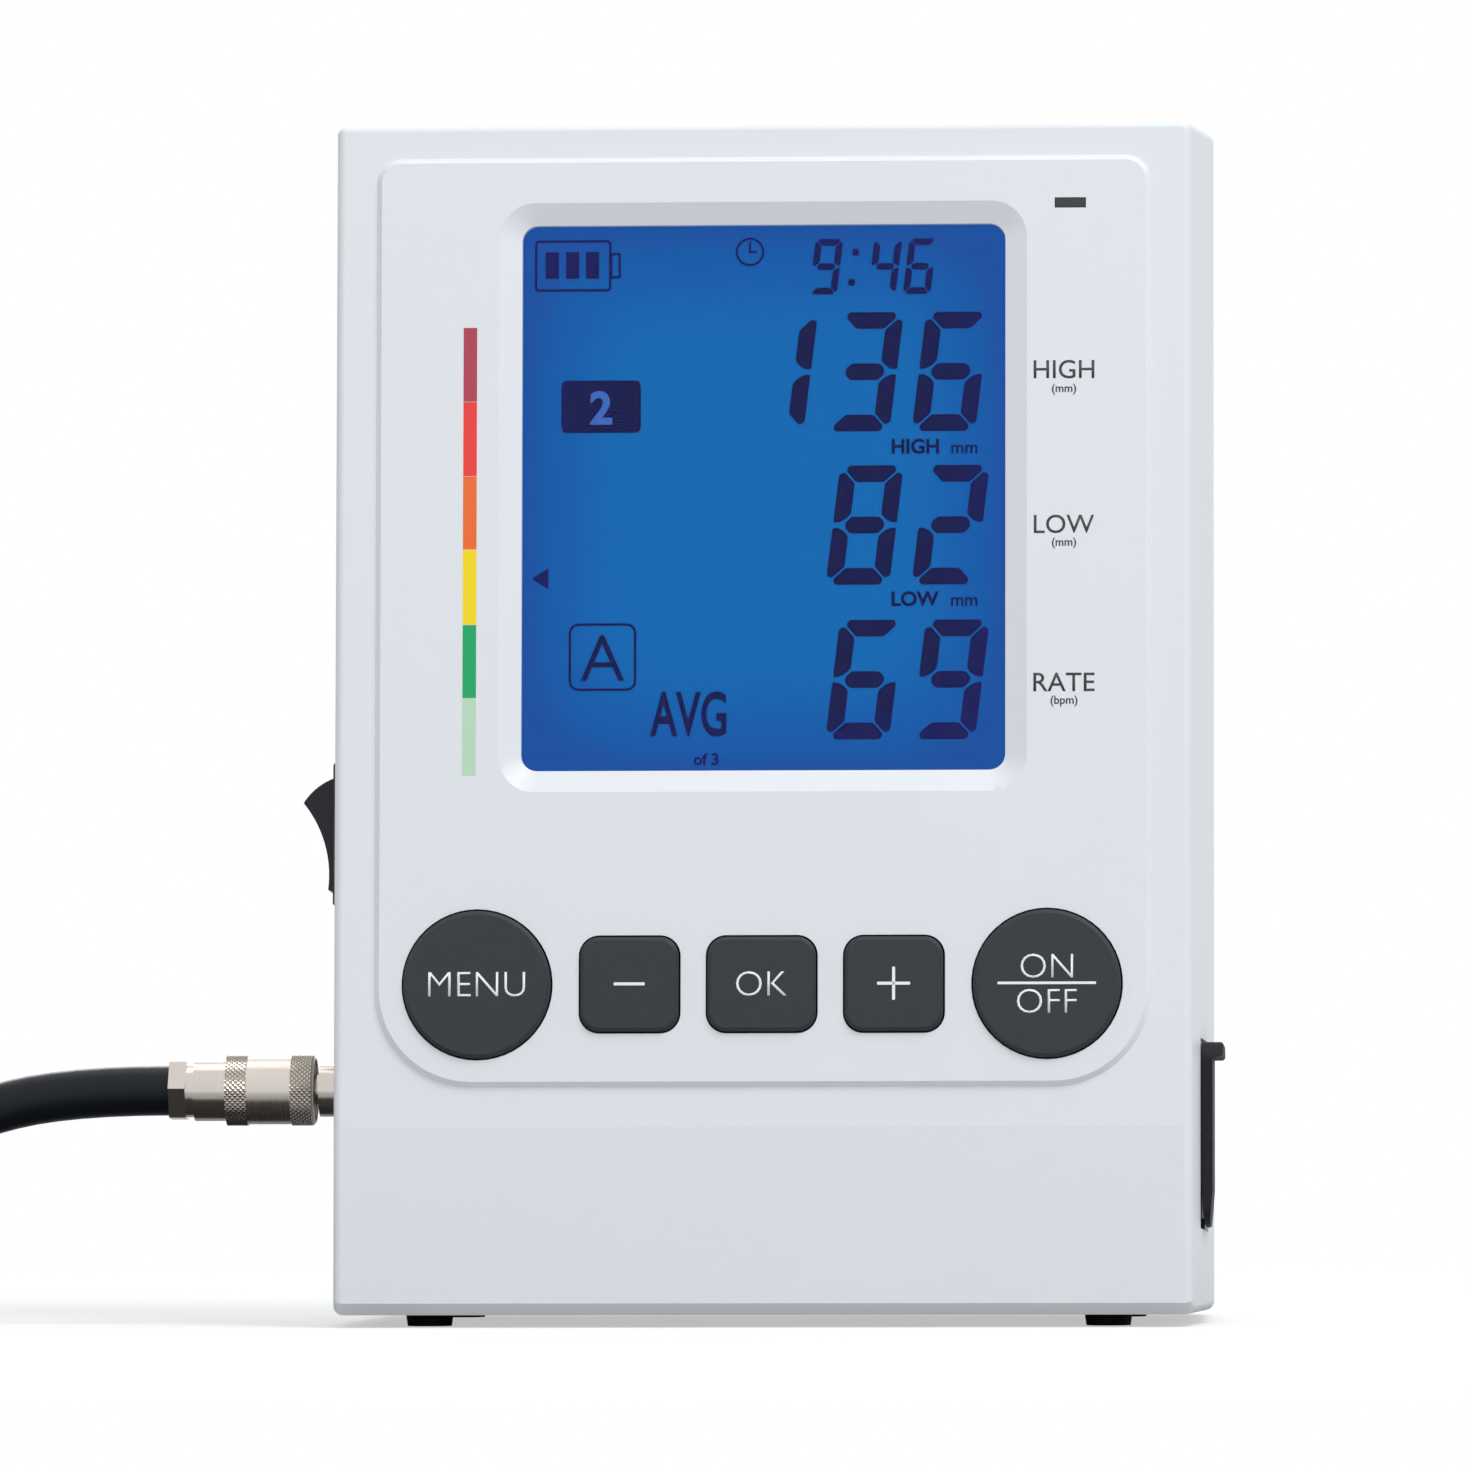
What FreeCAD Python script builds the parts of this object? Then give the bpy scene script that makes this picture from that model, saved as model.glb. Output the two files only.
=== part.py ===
import FreeCAD, Part
import math
import os

# Desktop blood pressure monitor: a leaning moulded housing with a backlit display, five keys,
# a rocker switch and an air coupling on its left side and a covered power socket on its right.
# Millimetres. +Z up, the display faces -Y, the rocker and the hose are on the -X side.
# The origin is on the table under the middle of the housing.

V = FreeCAD.Vector
X_AXIS = V(1, 0, 0)
Y_AXIS = V(0, 1, 0)
Z_AXIS = V(0, 0, 1)

# Housing
FACE_WIDTH = 137.0
PARTING_WIDTH = 141.6
REAR_WIDTH = 137.0
BODY_HEIGHT = 190.5
BASE_DEPTH = 96.0
TOP_DEPTH = 50.0
CREASE_HEIGHT = 30.0
FACE_LEAN_DEGREES = 4.0
PARTING_DEPTH = 36.0
PARTING_GAP = 0.2
WALL = 2.4
SIDE_EDGE_ROUND = 1.5
BASE_CHAMFER = 1.9
TOP_FRONT_ROUND = 1.2
TOP_REAR_ROUND = 12.0
BASE_REAR_ROUND = 5.0
LIP_HEIGHT = 1.6
LIP_ROOT = 2.4
LIP_THICKNESS = 1.0
LIP_CLEARANCE = 0.15
PAD_SINK = 0.2
OVERRUN = 6.0

# Raised panel and display recess on the front
PANEL_SIDE_MARGIN = 6.5
PANEL_FOOT_MARGIN = 6.4
PANEL_TOP_MARGIN = 5.4
PANEL_RAISE = 0.9
PANEL_BEVEL = 0.8
PANEL_TOP_ROUND = 4.0
PANEL_FOOT_ROUND = 15.5
WINDOW_WIDTH = 77.5
WINDOW_KEY_GAP = 22.5
WINDOW_TOP_MARGIN = 10.8
WINDOW_ROUND = 2.6
RECESS_MARGIN = 3.5
RECESS_DEPTH = 1.7
RECESS_ROUND = 4.5

# Display stack behind the recess
PANE_LAP = 2.5
PANE_THICKNESS = 1.5
LCD_LAP = 2.0
LCD_GAP = 0.2
LCD_THICKNESS = 2.8
BACKLIGHT_THICKNESS = 3.0
TRAY_WALL = 1.2
TRAY_CLEARANCE = 0.15
TRAY_LEG_DIAMETER = 4.0
TRAY_LEG_INSET = 5.0

# Status light
STATUS_WIDTH = 4.8
STATUS_HEIGHT = 1.45
STATUS_SIDE_MARGIN = 12.8
STATUS_TOP_MARGIN = 7.7
STATUS_CLEARANCE = 0.1
STATUS_FLANGE_LAP = 1.3
STATUS_FLANGE_THICKNESS = 1.2
LED_LENGTH = 3.0
LED_WIDTH = 1.6
LED_HEIGHT = 1.0
LED_AIR = 0.2

# Keys
KEY_ROW_RISE = 22.7
ROUND_KEY_DIAMETER = 23.6
ROUND_KEY_OFFSET = 45.5
SQUARE_KEY_OFFSET = 21.1
SQUARE_KEY_WIDTH = 15.7
SET_KEY_WIDTH = 17.3
SQUARE_KEY_HEIGHT = 15.1
SQUARE_KEY_ROUND = 3.0
KEY_PROUD = 0.9
KEY_GAP = 0.3
KEY_EDGE_BEVEL = 0.6
KEY_SKIN = 1.5
KEY_FLANGE_LAP = 1.2
KEY_FLANGE_THICKNESS = 1.2
KEY_SEAT_GAP = 0.1
KEY_STEM_DIAMETER = 5.0
KEY_TRAVEL = 0.8

# Tact switches under the keys
TACT_SIZE = 6.2
TACT_HEIGHT = 3.6
TACT_BORE_DEPTH = 2.6
TACT_SPARE = 0.4
PLUNGER_DIAMETER = 3.4
PLUNGER_LENGTH = 2.4
PLUNGER_CLEARANCE = 0.08

# Main board
BOARD_STANDOFF = 11.6
BOARD_THICKNESS = 1.6
BOARD_SIDE_MARGIN = 11.0
BOARD_DROP = 3.0
BOARD_TOP_MARGIN = 3.0
BOARD_POST_DIAMETER = 6.0
BOARD_POST_INSET = 4.0
BOARD_FOOT_POST_OFFSET = 41.0
BOARD_POST_FOOT_RISE = 5.5
BOARD_POST_TOP_DROP = 16.0
BOARD_SCREW_DIAMETER = 2.4
BOARD_SCREW_LENGTH = 7.0
BOARD_SCREW_HEAD_DIAMETER = 4.6
BOARD_SCREW_HEAD_HEIGHT = 1.6
BUZZER_DIAMETER = 12.0
BUZZER_HEIGHT = 6.0
BUZZER_BORE = 2.0
BUZZER_OFFSET = 25.0
BUZZER_TOP_DROP = 30.0

# Housing screws and their posts
SCREW_DIAMETER = 2.9
SCREW_LENGTH = 14.0
SCREW_HEAD_DIAMETER = 5.6
SCREW_HEAD_HEIGHT = 2.2
SCREW_CLEARANCE = 0.15
SCREW_SEAT = 3.0
SCREW_POST_WALL = 1.4
SCREW_TOP_DROP = 10.6
SCREW_TOP_INSET = 5.5
SCREW_FOOT_OFFSET = 46.0
SCREW_FOOT_DROP = 10.0

# Rocker switch on the left side
ROCKER_RISE = 48.3
ROCKER_DEPTH = 24.0
ROCKER_WIDTH = 10.4
ROCKER_DRUM_RADIUS = 9.8
ROCKER_PIVOT_SINK = 2.4
ROCKER_TIP_DEGREES = 48.0
ROCKER_DISH = 1.5
ROCKER_TILT_DEGREES = 16.0
ROCKER_HEEL = 3.5
ROCKER_GAP = 0.3
ROCKER_PIN_RADIUS = 1.2
ROCKER_PIN_CLEARANCE = 0.05
BEZEL_RIM = 1.6
BEZEL_THICKNESS = 1.0
SWITCH_WALL = 0.8
SWITCH_DEPTH = 14.0
SWITCH_FLOOR = 6.0
SWITCH_FIT = 0.1
TERMINAL_LENGTH = 7.0
TERMINAL_WIDTH = 4.8
TERMINAL_THICKNESS = 0.8
TERMINAL_SPACING = 8.0

# Air outlet on the left side
AIR_RISE = 7.2
NIPPLE_NECK_DIAMETER = 8.5
NIPPLE_NECK_LENGTH = 3.2
NIPPLE_SPIGOT_DIAMETER = 5.0
NIPPLE_SPIGOT_LENGTH = 12.0
NIPPLE_SHANK_DIAMETER = 7.0
NIPPLE_SHANK_FIT = 0.1
NIPPLE_TAIL_DIAMETER = 3.6
NIPPLE_TAIL_LENGTH = 5.0
NIPPLE_BORE = 2.2
NIPPLE_PAD_LAP = 0.6
NUT_ACROSS_FLATS = 11.0
NUT_THICKNESS = 3.0
NUT_PAD_LAP = 0.8

# Quick coupling on the air outlet
COUPLING_GAP = 0.7
COUPLING_BODY_DIAMETER = 9.8
COUPLING_BODY_SET_BACK = 0.8
COUPLING_BODY_TAIL = 3.2
COUPLING_NECK_DIAMETER = 8.6
COUPLING_NECK_LENGTH = 1.3
COUPLING_BORE_CLEARANCE = 0.1
COUPLING_SEAL_THICKNESS = 1.5
COUPLING_SEAL_BORE = 2.6
SLEEVE_DIAMETER = 10.9
SLEEVE_KNURL_DIAMETER = 11.4
SLEEVE_FRONT_KNURL = 3.6
SLEEVE_REAR_KNURL = 3.4
SLEEVE_LENGTH = 14.3
SLEEVE_CHAMFER = 0.5
SLEEVE_CLEARANCE = 0.08
SLEEVE_TRAVEL = 2.0
HOSE_NUT_ACROSS_FLATS = 9.0
HOSE_NUT_LENGTH = 2.7

# Manifold, tubes, sensor, valve and pump behind the board
MANIFOLD_SIZE = 8.8
MANIFOLD_PORT_INSET = 4.0
MANIFOLD_BORE = 1.8
NOZZLE_DIAMETER = 3.2
NOZZLE_LENGTH = 4.0
NOZZLE_FIT = 0.05
TUBE_DIAMETER = 5.2
TUBE_BEND_RADIUS = 7.0
VALVE_TUBE_LENGTH = 14.0
VALVE_LENGTH = 22.0
VALVE_WIDTH = 14.0
VALVE_HEIGHT = 13.0
SENSOR_TUBE_LENGTH = 13.0
SENSOR_SIZE = 10.0
SENSOR_HEIGHT = 7.0
SENSOR_SWITCH_GAP = 0.8
PUMP_DEPTH = 36.0
PUMP_TUBE_RISE = 72.0
PUMP_HEAD_SIZE = 24.0
PUMP_HEAD_LENGTH = 22.0
PUMP_HEAD_ROUND = 3.0
MOTOR_DIAMETER = 24.0
MOTOR_LENGTH = 32.0
MOTOR_BOSS_DIAMETER = 8.0
MOTOR_BOSS_LENGTH = 2.0
SADDLE_LENGTH = 20.0
SADDLE_WIDTH = 18.0
SADDLE_SET_BACK = 4.0
SADDLE_FIT = 0.05

# Power socket and its rubber flap on the right side
SOCKET_AXIS_HEIGHT = 4.4
SOCKET_RISE = 4.0
SOCKET_HEIGHT = 9.0
SOCKET_WIDTH = 9.6
SOCKET_LENGTH = 14.0
SOCKET_BORE_DIAMETER = 6.4
SOCKET_BORE_DEPTH = 10.0
SOCKET_PIN_DIAMETER = 2.0
SOCKET_PIN_SET_BACK = 1.0
SOCKET_HOLE_DIAMETER = 7.6
FLAP_LENGTH = 29.5
FLAP_FOOT_DROP = 15.0
FLAP_WIDTH = 11.0
FLAP_THICKNESS = 1.8
FLAP_TIP_THICKNESS = 0.9
FLAP_TAPER_LENGTH = 6.0
FLAP_ROUND = 3.0
FLAP_LIFT = 0.3
FLAP_TAB_HEIGHT = 2.5
FLAP_TAB_REACH = 1.7
FLAP_TAB_ROUND = 0.6
FLAP_PLUG_GAP = 0.7
FLAP_PLUG_LENGTH = 1.5
FLAP_POCKET_LAP = 0.5
ANCHOR_WIDTH = 4.5
ANCHOR_HEIGHT = 1.6
ANCHOR_GAP = 0.15
ANCHOR_FIT = 0.05
ANCHOR_HEAD_LAP = 1.6
ANCHOR_HEAD_THICKNESS = 1.4

# Battery compartment and its door on the back
CELL_COUNT = 4
CELL_DIAMETER = 14.5
CELL_PITCH = 15.1
CELL_LENGTH = 49.5
CELL_TIP_DIAMETER = 5.4
CELL_TIP_LENGTH = 1.0
CELL_AIR = 0.3
CONTACT_ROOM = 2.0
CONTACT_WIDTH = 8.6
CONTACT_HEIGHT = 10.0
CONTACT_THICKNESS = 0.5
CONTACT_NUB_WIDTH = 3.0
TUB_RISE = 15.0
TUB_WALL = 1.6
DOOR_LEDGE = 1.6
DOOR_THICKNESS = 2.0
DOOR_GAP = 0.25
DOOR_SEAT_GAP = 0.1
DOOR_ROUND = 2.0
HOOK_WIDTH = 3.6
HOOK_THICKNESS = 1.2
HOOK_DROP = 1.6
HOOK_GAP = 0.3
HOOK_ROOM = 2.6
THUMB_NOTCH_WIDTH = 14.0
THUMB_NOTCH_HEIGHT = 5.0
THUMB_NOTCH_DEPTH = 1.4

# Rubber feet
FOOT_DIAMETER = 7.7
FOOT_TAPER = 0.3
FOOT_HEIGHT = 2.0
FOOT_SINK = 0.8
FOOT_FIT = 0.1
FOOT_OFFSET = 54.5
FOOT_FRONT_SET = 16.0
FOOT_REAR_SET = 16.0

# Air hose: the hand-chosen route of its open stretch, its coil, tie and cuff connector
HOSE_DIAMETER = 8.0
HOSE_ROUTE = [
    (-96.67, -27.55, 37.79),
    (-113.5, -27.55, 37.79),
    (-131.0, -29.50, 33.40),
    (-147.0, -33.80, 26.20),
    (-162.0, -39.80, 18.30),
    (-178.0, -42.70, 13.90),
    (-192.5, -42.70, 13.90),
]
HOSE_SIDES = 8
COIL_TURNS_IN = 1.75
COIL_OUTER_RADIUS = 51.7
COIL_PITCH = 8.8
TIE_WIDTH = 8.0
TIE_THICKNESS = 0.6
TIE_GAP = 0.5
TIE_ROUND = 4.0
CUFF_COLLAR_DIAMETER = 9.4
CUFF_COLLAR_LENGTH = 10.0
CUFF_GROOVE_DEPTH = 0.6
CUFF_GROOVE_LENGTH = 1.6
CUFF_NOSE_DIAMETER = 4.6
CUFF_NOSE_LENGTH = 11.0

# Places worked out from the sizes above
UNDERSIDE_Z = FOOT_HEIGHT
CREASE_Z = UNDERSIDE_Z + CREASE_HEIGHT
TOP_Z = UNDERSIDE_Z + BODY_HEIGHT
FRONT_Y = -BASE_DEPTH / 2
BACK_Y = BASE_DEPTH / 2
FACE_LEAN = math.radians(FACE_LEAN_DEGREES)
FACE_HEIGHT = (BODY_HEIGHT - CREASE_HEIGHT) / math.cos(FACE_LEAN)
TOP_FRONT_Y = FRONT_Y + FACE_HEIGHT * math.sin(FACE_LEAN)
TOP_REAR_Y = TOP_FRONT_Y + TOP_DEPTH
BACK_LEAN = math.atan2(BACK_Y - TOP_REAR_Y, BODY_HEIGHT)
BACK_LEAN_DEGREES = math.degrees(BACK_LEAN)

PANEL_WIDTH = FACE_WIDTH - 2 * PANEL_SIDE_MARGIN
PANEL_TOP = FACE_HEIGHT - PANEL_TOP_MARGIN
PANEL_HEIGHT = PANEL_TOP - PANEL_FOOT_MARGIN
WINDOW_TOP = PANEL_TOP - WINDOW_TOP_MARGIN
WINDOW_FOOT = KEY_ROW_RISE + ROUND_KEY_DIAMETER / 2 + WINDOW_KEY_GAP
WINDOW_HEIGHT = WINDOW_TOP - WINDOW_FOOT
WINDOW_MIDDLE = (WINDOW_TOP + WINDOW_FOOT) / 2

BOARD_FRONT = WALL + BOARD_STANDOFF
BOARD_BACK = BOARD_FRONT + BOARD_THICKNESS
BOARD_HALF_WIDTH = FACE_WIDTH / 2 - BOARD_SIDE_MARGIN
BOARD_TOP = PANEL_TOP - BOARD_TOP_MARGIN
PANE_BACK = WALL + PANE_THICKNESS
LCD_FRONT = PANE_BACK + LCD_GAP
LCD_BACK = LCD_FRONT + LCD_THICKNESS
BACKLIGHT_BACK = LCD_BACK + BACKLIGHT_THICKNESS
TRAY_BACK = BACKLIGHT_BACK + TRAY_WALL

AIR_DEPTH = BOARD_BACK + MANIFOLD_SIZE / 2
SOCKET_DEPTH = BOARD_BACK + SOCKET_AXIS_HEIGHT
TACT_TOP = BOARD_FRONT - TACT_HEIGHT
STEM_END = TACT_TOP - KEY_TRAVEL - TACT_SPARE
KEY_FRONT = -PANEL_RAISE - KEY_PROUD

FACE = FreeCAD.Placement(V(0, FRONT_Y, CREASE_Z), FreeCAD.Rotation(X_AXIS, -FACE_LEAN_DEGREES))
BACK = FreeCAD.Placement(V(0, BACK_Y, UNDERSIDE_Z), FreeCAD.Rotation(X_AXIS, BACK_LEAN_DEGREES))


def placed(shape, placement):
    """Copy of a shape moved from a working frame into the part's frame."""
    moved = shape.copy()
    moved.Placement = placement.multiply(moved.Placement)
    return moved


def on_face(shape):
    """From the face frame: x to the right, y into the housing, z up the leaning front."""
    return placed(shape, FACE)


def on_back(shape):
    """From the back frame: x to the right, y out of the back, z up the sloping back."""
    return placed(shape, BACK)


def box(x_range, y_range, z_range):
    """Box between pairs of limits."""
    size = [limits[1] - limits[0] for limits in (x_range, y_range, z_range)]
    return Part.makeBox(size[0], size[1], size[2], V(x_range[0], y_range[0], z_range[0]))


def about(middle, width):
    """Limits of a width about its middle."""
    return (middle - width / 2, middle + width / 2)


def rod(diameter, start, end):
    """Cylinder from one point to another."""
    axis = end - start
    return Part.makeCylinder(diameter / 2, axis.Length, start, axis)


def outline(points, rounds):
    """Closed wire through points, each corner rounded by its radius (0 keeps it sharp)."""
    count = len(points)
    starts = []
    ends = []
    arcs = []
    for index, (corner, radius) in enumerate(zip(points, rounds)):
        before = (points[index - 1] - corner).normalize()
        after = (points[(index + 1) % count] - corner).normalize()
        half = before.getAngle(after) / 2
        reach = radius / math.tan(half)
        middle = (before + after).normalize() * (radius / math.sin(half) - radius)
        starts.append(corner + before * reach)
        ends.append(corner + after * reach)
        arcs.append(corner + middle)
    edges = []
    for index in range(count):
        if rounds[index] > 0:
            edges.append(Part.Arc(starts[index], arcs[index], ends[index]).toShape())
        following = (index + 1) % count
        if not ends[index].isEqual(starts[following], Part.Precision.confusion()):
            edges.append(Part.LineSegment(ends[index], starts[following]).toShape())
    return Part.Wire(edges)


def rectangle(width, height, rounds, centre_x, centre_z, depth):
    """Rounded rectangle facing the front, rounds from lower left anticlockwise."""
    left, right = about(centre_x, width)
    foot, top = about(centre_z, height)
    corners = [
        V(left, depth, foot),
        V(right, depth, foot),
        V(right, depth, top),
        V(left, depth, top),
    ]
    return outline(corners, rounds)


def plate(width, height, rounds, centre_x, centre_z, y_range):
    """Rounded rectangular plate between two depths."""
    wire = rectangle(width, height, rounds, centre_x, centre_z, y_range[0])
    return Part.Face(wire).extrude(V(0, y_range[1] - y_range[0], 0))


def turned(points, centre_y, centre_z):
    """Solid turned about an axis along X from (x, radius) points."""
    corners = [V(x, centre_y, centre_z + radius) for x, radius in points]
    face = Part.Face(Part.makePolygon(corners + corners[:1]))
    return face.revolve(V(0, centre_y, centre_z), X_AXIS, 360)


def hexagon_bar(across_flats, x_range, centre_y, centre_z):
    """Hexagonal bar along X with a flat on top."""
    radius = across_flats / math.sqrt(3)
    corners = []
    for step in range(6):
        angle = math.radians(60 * step)
        offset = V(0, radius * math.cos(angle), radius * math.sin(angle))
        corners.append(V(x_range[0], centre_y, centre_z) + offset)
    face = Part.Face(Part.makePolygon(corners + corners[:1]))
    return face.extrude(V(x_range[1] - x_range[0], 0, 0))


# Housing


def half_width(depth):
    """Half the housing's width at a depth behind the front, with the draft of both shells."""
    if depth <= PARTING_DEPTH:
        slope = (PARTING_WIDTH - FACE_WIDTH) / 2 / PARTING_DEPTH
    else:
        slope = (REAR_WIDTH - PARTING_WIDTH) / 2 / (BASE_DEPTH - PARTING_DEPTH)
    return PARTING_WIDTH / 2 + slope * (depth - PARTING_DEPTH)


def side_outline(inset):
    """Housing's side view, moved in by an inset on every side."""
    corners = [
        V(0, FRONT_Y, UNDERSIDE_Z),
        V(0, FRONT_Y, CREASE_Z),
        V(0, TOP_FRONT_Y, TOP_Z),
        V(0, TOP_REAR_Y, TOP_Z),
        V(0, BACK_Y, UNDERSIDE_Z),
    ]
    moved = []
    for index, corner in enumerate(corners):
        before = (corner - corners[index - 1]).normalize()
        after = (corners[(index + 1) % len(corners)] - corner).normalize()
        inward = (after - before).normalize()
        half = (before * -1).getAngle(after) / 2
        moved.append(corner + inward * (inset / math.sin(half)))
    return moved


def side_block(inset):
    """Side view drawn across the full width, with its rounded edges."""
    front_foot, crease, top_front, top_rear, rear_foot = side_outline(inset)
    chamfer = max(BASE_CHAMFER - inset, 0)
    points = [crease, top_front, top_rear, rear_foot]
    rounds = [
        0,
        max(TOP_FRONT_ROUND - inset, 0),
        max(TOP_REAR_ROUND - inset, 0),
        max(BASE_REAR_ROUND - inset, 0),
    ]
    if chamfer > 0:
        points += [front_foot + V(0, chamfer, 0), front_foot + V(0, 0, chamfer)]
        rounds += [0, 0]
    else:
        points.append(front_foot)
        rounds.append(0)
    reach = PARTING_WIDTH / 2 + OVERRUN
    wire = outline([point - V(reach, 0, 0) for point in points], rounds)
    return Part.Face(wire).extrude(V(2 * reach, 0, 0))


def plan_block(depths, inset):
    """Plan between two depths, drawn up the leaning front."""
    front, rear = depths
    corners = [
        V(-half_width(front) + inset, front, -BODY_HEIGHT),
        V(half_width(front) - inset, front, -BODY_HEIGHT),
        V(half_width(rear) - inset, rear, -BODY_HEIGHT),
        V(-half_width(rear) + inset, rear, -BODY_HEIGHT),
    ]
    face = Part.Face(Part.makePolygon(corners + corners[:1]))
    return on_face(face.extrude(V(0, 0, 3 * BODY_HEIGHT)))


FRONT_DEPTHS = (-OVERRUN, PARTING_DEPTH)
REAR_DEPTHS = (PARTING_DEPTH, BASE_DEPTH + OVERRUN)


def half_block(depths, inset):
    """One half of the housing as a block, moved in by an inset on every side."""
    return side_block(inset).common(plan_block(depths, inset))


def rounded_half(depths):
    """Outside of one shell, with its two side outlines rounded up to the parting line."""
    block = half_block(depths, 0)
    to_face = FACE.inverse()
    edges = []
    for edge in block.Edges:
        ends = [to_face.multVec(edge.valueAt(at)) for at in edge.ParameterRange]
        on_side = all(abs(abs(end.x) - half_width(end.y)) < LIP_CLEARANCE for end in ends)
        same_side = ends[0].x * ends[1].x > 0
        on_parting = all(abs(end.y - PARTING_DEPTH) < LIP_CLEARANCE for end in ends)
        if on_side and same_side and not on_parting:
            edges.append(edge)
    return block.makeFillet(SIDE_EDGE_ROUND, edges)


def front_cavity():
    """Space inside the front shell, run past the parting line."""
    return half_block((-OVERRUN, PARTING_DEPTH), WALL).fuse(
        half_block((PARTING_DEPTH, PARTING_DEPTH + OVERRUN), WALL)
    )


def rear_cavity():
    """Space inside the back shell, run past the parting line."""
    return half_block((PARTING_DEPTH - OVERRUN, PARTING_DEPTH), WALL).fuse(
        half_block(REAR_DEPTHS, WALL)
    )


def outer_pad(depth, span):
    """Flat seat for a fitting of a span on the drafted outside of a side wall."""
    return half_width(depth - span / 2) - PAD_SINK


def inner_pad(depth, span):
    """Flat seat for a fitting of a span on the drafted inside of a side wall."""
    return half_width(depth + span / 2) - WALL


BEZEL_LENGTH = 2 * (ROCKER_DRUM_RADIUS + ROCKER_GAP + BEZEL_RIM)
BEZEL_WIDTH = ROCKER_WIDTH + 2 * (ROCKER_GAP + BEZEL_RIM)
SWITCH_LENGTH = 2 * (ROCKER_DRUM_RADIUS + ROCKER_GAP + SWITCH_WALL)
SWITCH_WIDTH = ROCKER_WIDTH + 2 * (ROCKER_GAP + SWITCH_WALL)
ROCKER_PAD = outer_pad(ROCKER_DEPTH, BEZEL_WIDTH)
ROCKER_AXIS_X = -ROCKER_PAD + ROCKER_PIVOT_SINK
SWITCH_END = -ROCKER_PAD + SWITCH_DEPTH
NIPPLE_PAD = outer_pad(AIR_DEPTH, NIPPLE_NECK_DIAMETER + 2 * NIPPLE_PAD_LAP)
NUT_PAD_DIAMETER = NUT_ACROSS_FLATS * 2 / math.sqrt(3) + 2 * NUT_PAD_LAP
NUT_PAD = inner_pad(AIR_DEPTH, NUT_PAD_DIAMETER)
FLAP_POCKET_WIDTH = FLAP_WIDTH + 2 * FLAP_POCKET_LAP
FLAP_PAD = outer_pad(SOCKET_DEPTH, FLAP_POCKET_WIDTH)
FLAP_TIP_INSET = (FLAP_THICKNESS - FLAP_TIP_THICKNESS) / 2
FLAP_HINGE_Z = FLAP_TIP_THICKNESS / 2 - FLAP_FOOT_DROP
SOCKET_FRONT = inner_pad(SOCKET_DEPTH, -SOCKET_WIDTH)
BOARD_FOOT_POST = (BOARD_FOOT_POST_OFFSET, BOARD_POST_FOOT_RISE - BOARD_DROP)
BOARD_TOP_POST = (BOARD_HALF_WIDTH - BOARD_POST_INSET, BOARD_TOP - BOARD_POST_TOP_DROP)
BOARD_POSTS = [(side * x, rise) for side in (-1, 1) for x, rise in (BOARD_FOOT_POST, BOARD_TOP_POST)]
SCREW_FOOT_PLACE = (SCREW_FOOT_OFFSET, -SCREW_FOOT_DROP)
SCREW_TOP_PLACE = (half_width(0) - SCREW_TOP_INSET, FACE_HEIGHT - SCREW_TOP_DROP)
SCREW_PLACES = [(side * x, rise) for side in (-1, 1) for x, rise in (SCREW_FOOT_PLACE, SCREW_TOP_PLACE)]
SCREW_POST_DIAMETER = SCREW_HEAD_DIAMETER + 2 * (SCREW_CLEARANCE + SCREW_POST_WALL)
STATUS_X = PANEL_WIDTH / 2 - STATUS_SIDE_MARGIN
STATUS_Z = PANEL_TOP - STATUS_TOP_MARGIN

KEYS = {
    "mode_key": (-ROUND_KEY_OFFSET, ROUND_KEY_DIAMETER, ROUND_KEY_DIAMETER, ROUND_KEY_DIAMETER / 2),
    "minus_key": (-SQUARE_KEY_OFFSET, SQUARE_KEY_WIDTH, SQUARE_KEY_HEIGHT, SQUARE_KEY_ROUND),
    "set_key": (0, SET_KEY_WIDTH, SQUARE_KEY_HEIGHT, SQUARE_KEY_ROUND),
    "plus_key": (SQUARE_KEY_OFFSET, SQUARE_KEY_WIDTH, SQUARE_KEY_HEIGHT, SQUARE_KEY_ROUND),
    "start_key": (ROUND_KEY_OFFSET, ROUND_KEY_DIAMETER, ROUND_KEY_DIAMETER, ROUND_KEY_DIAMETER / 2),
}


def key_block(name, growth, y_range):
    """Outline of a key, grown on every side, between two depths."""
    x, width, height, corner = KEYS[name]
    if corner == width / 2:
        start = V(x, y_range[0], KEY_ROW_RISE)
        return rod(width + 2 * growth, start, start + V(0, y_range[1] - y_range[0], 0))
    rounds = [corner + growth] * 4
    return plate(width + 2 * growth, height + 2 * growth, rounds, x, KEY_ROW_RISE, y_range)


def raised_panel():
    """Raised plate of the front with bevelled edges."""
    rounds = [PANEL_FOOT_ROUND, PANEL_FOOT_ROUND, PANEL_TOP_ROUND, PANEL_TOP_ROUND]
    middle = PANEL_FOOT_MARGIN + PANEL_HEIGHT / 2
    panel = plate(PANEL_WIDTH, PANEL_HEIGHT, rounds, 0, middle, (-PANEL_RAISE, WALL / 2))
    front = [edge for edge in panel.Edges if abs(edge.BoundBox.YMax + PANEL_RAISE) < PANEL_RAISE / 2]
    return panel.makeChamfer(PANEL_BEVEL, front)


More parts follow.
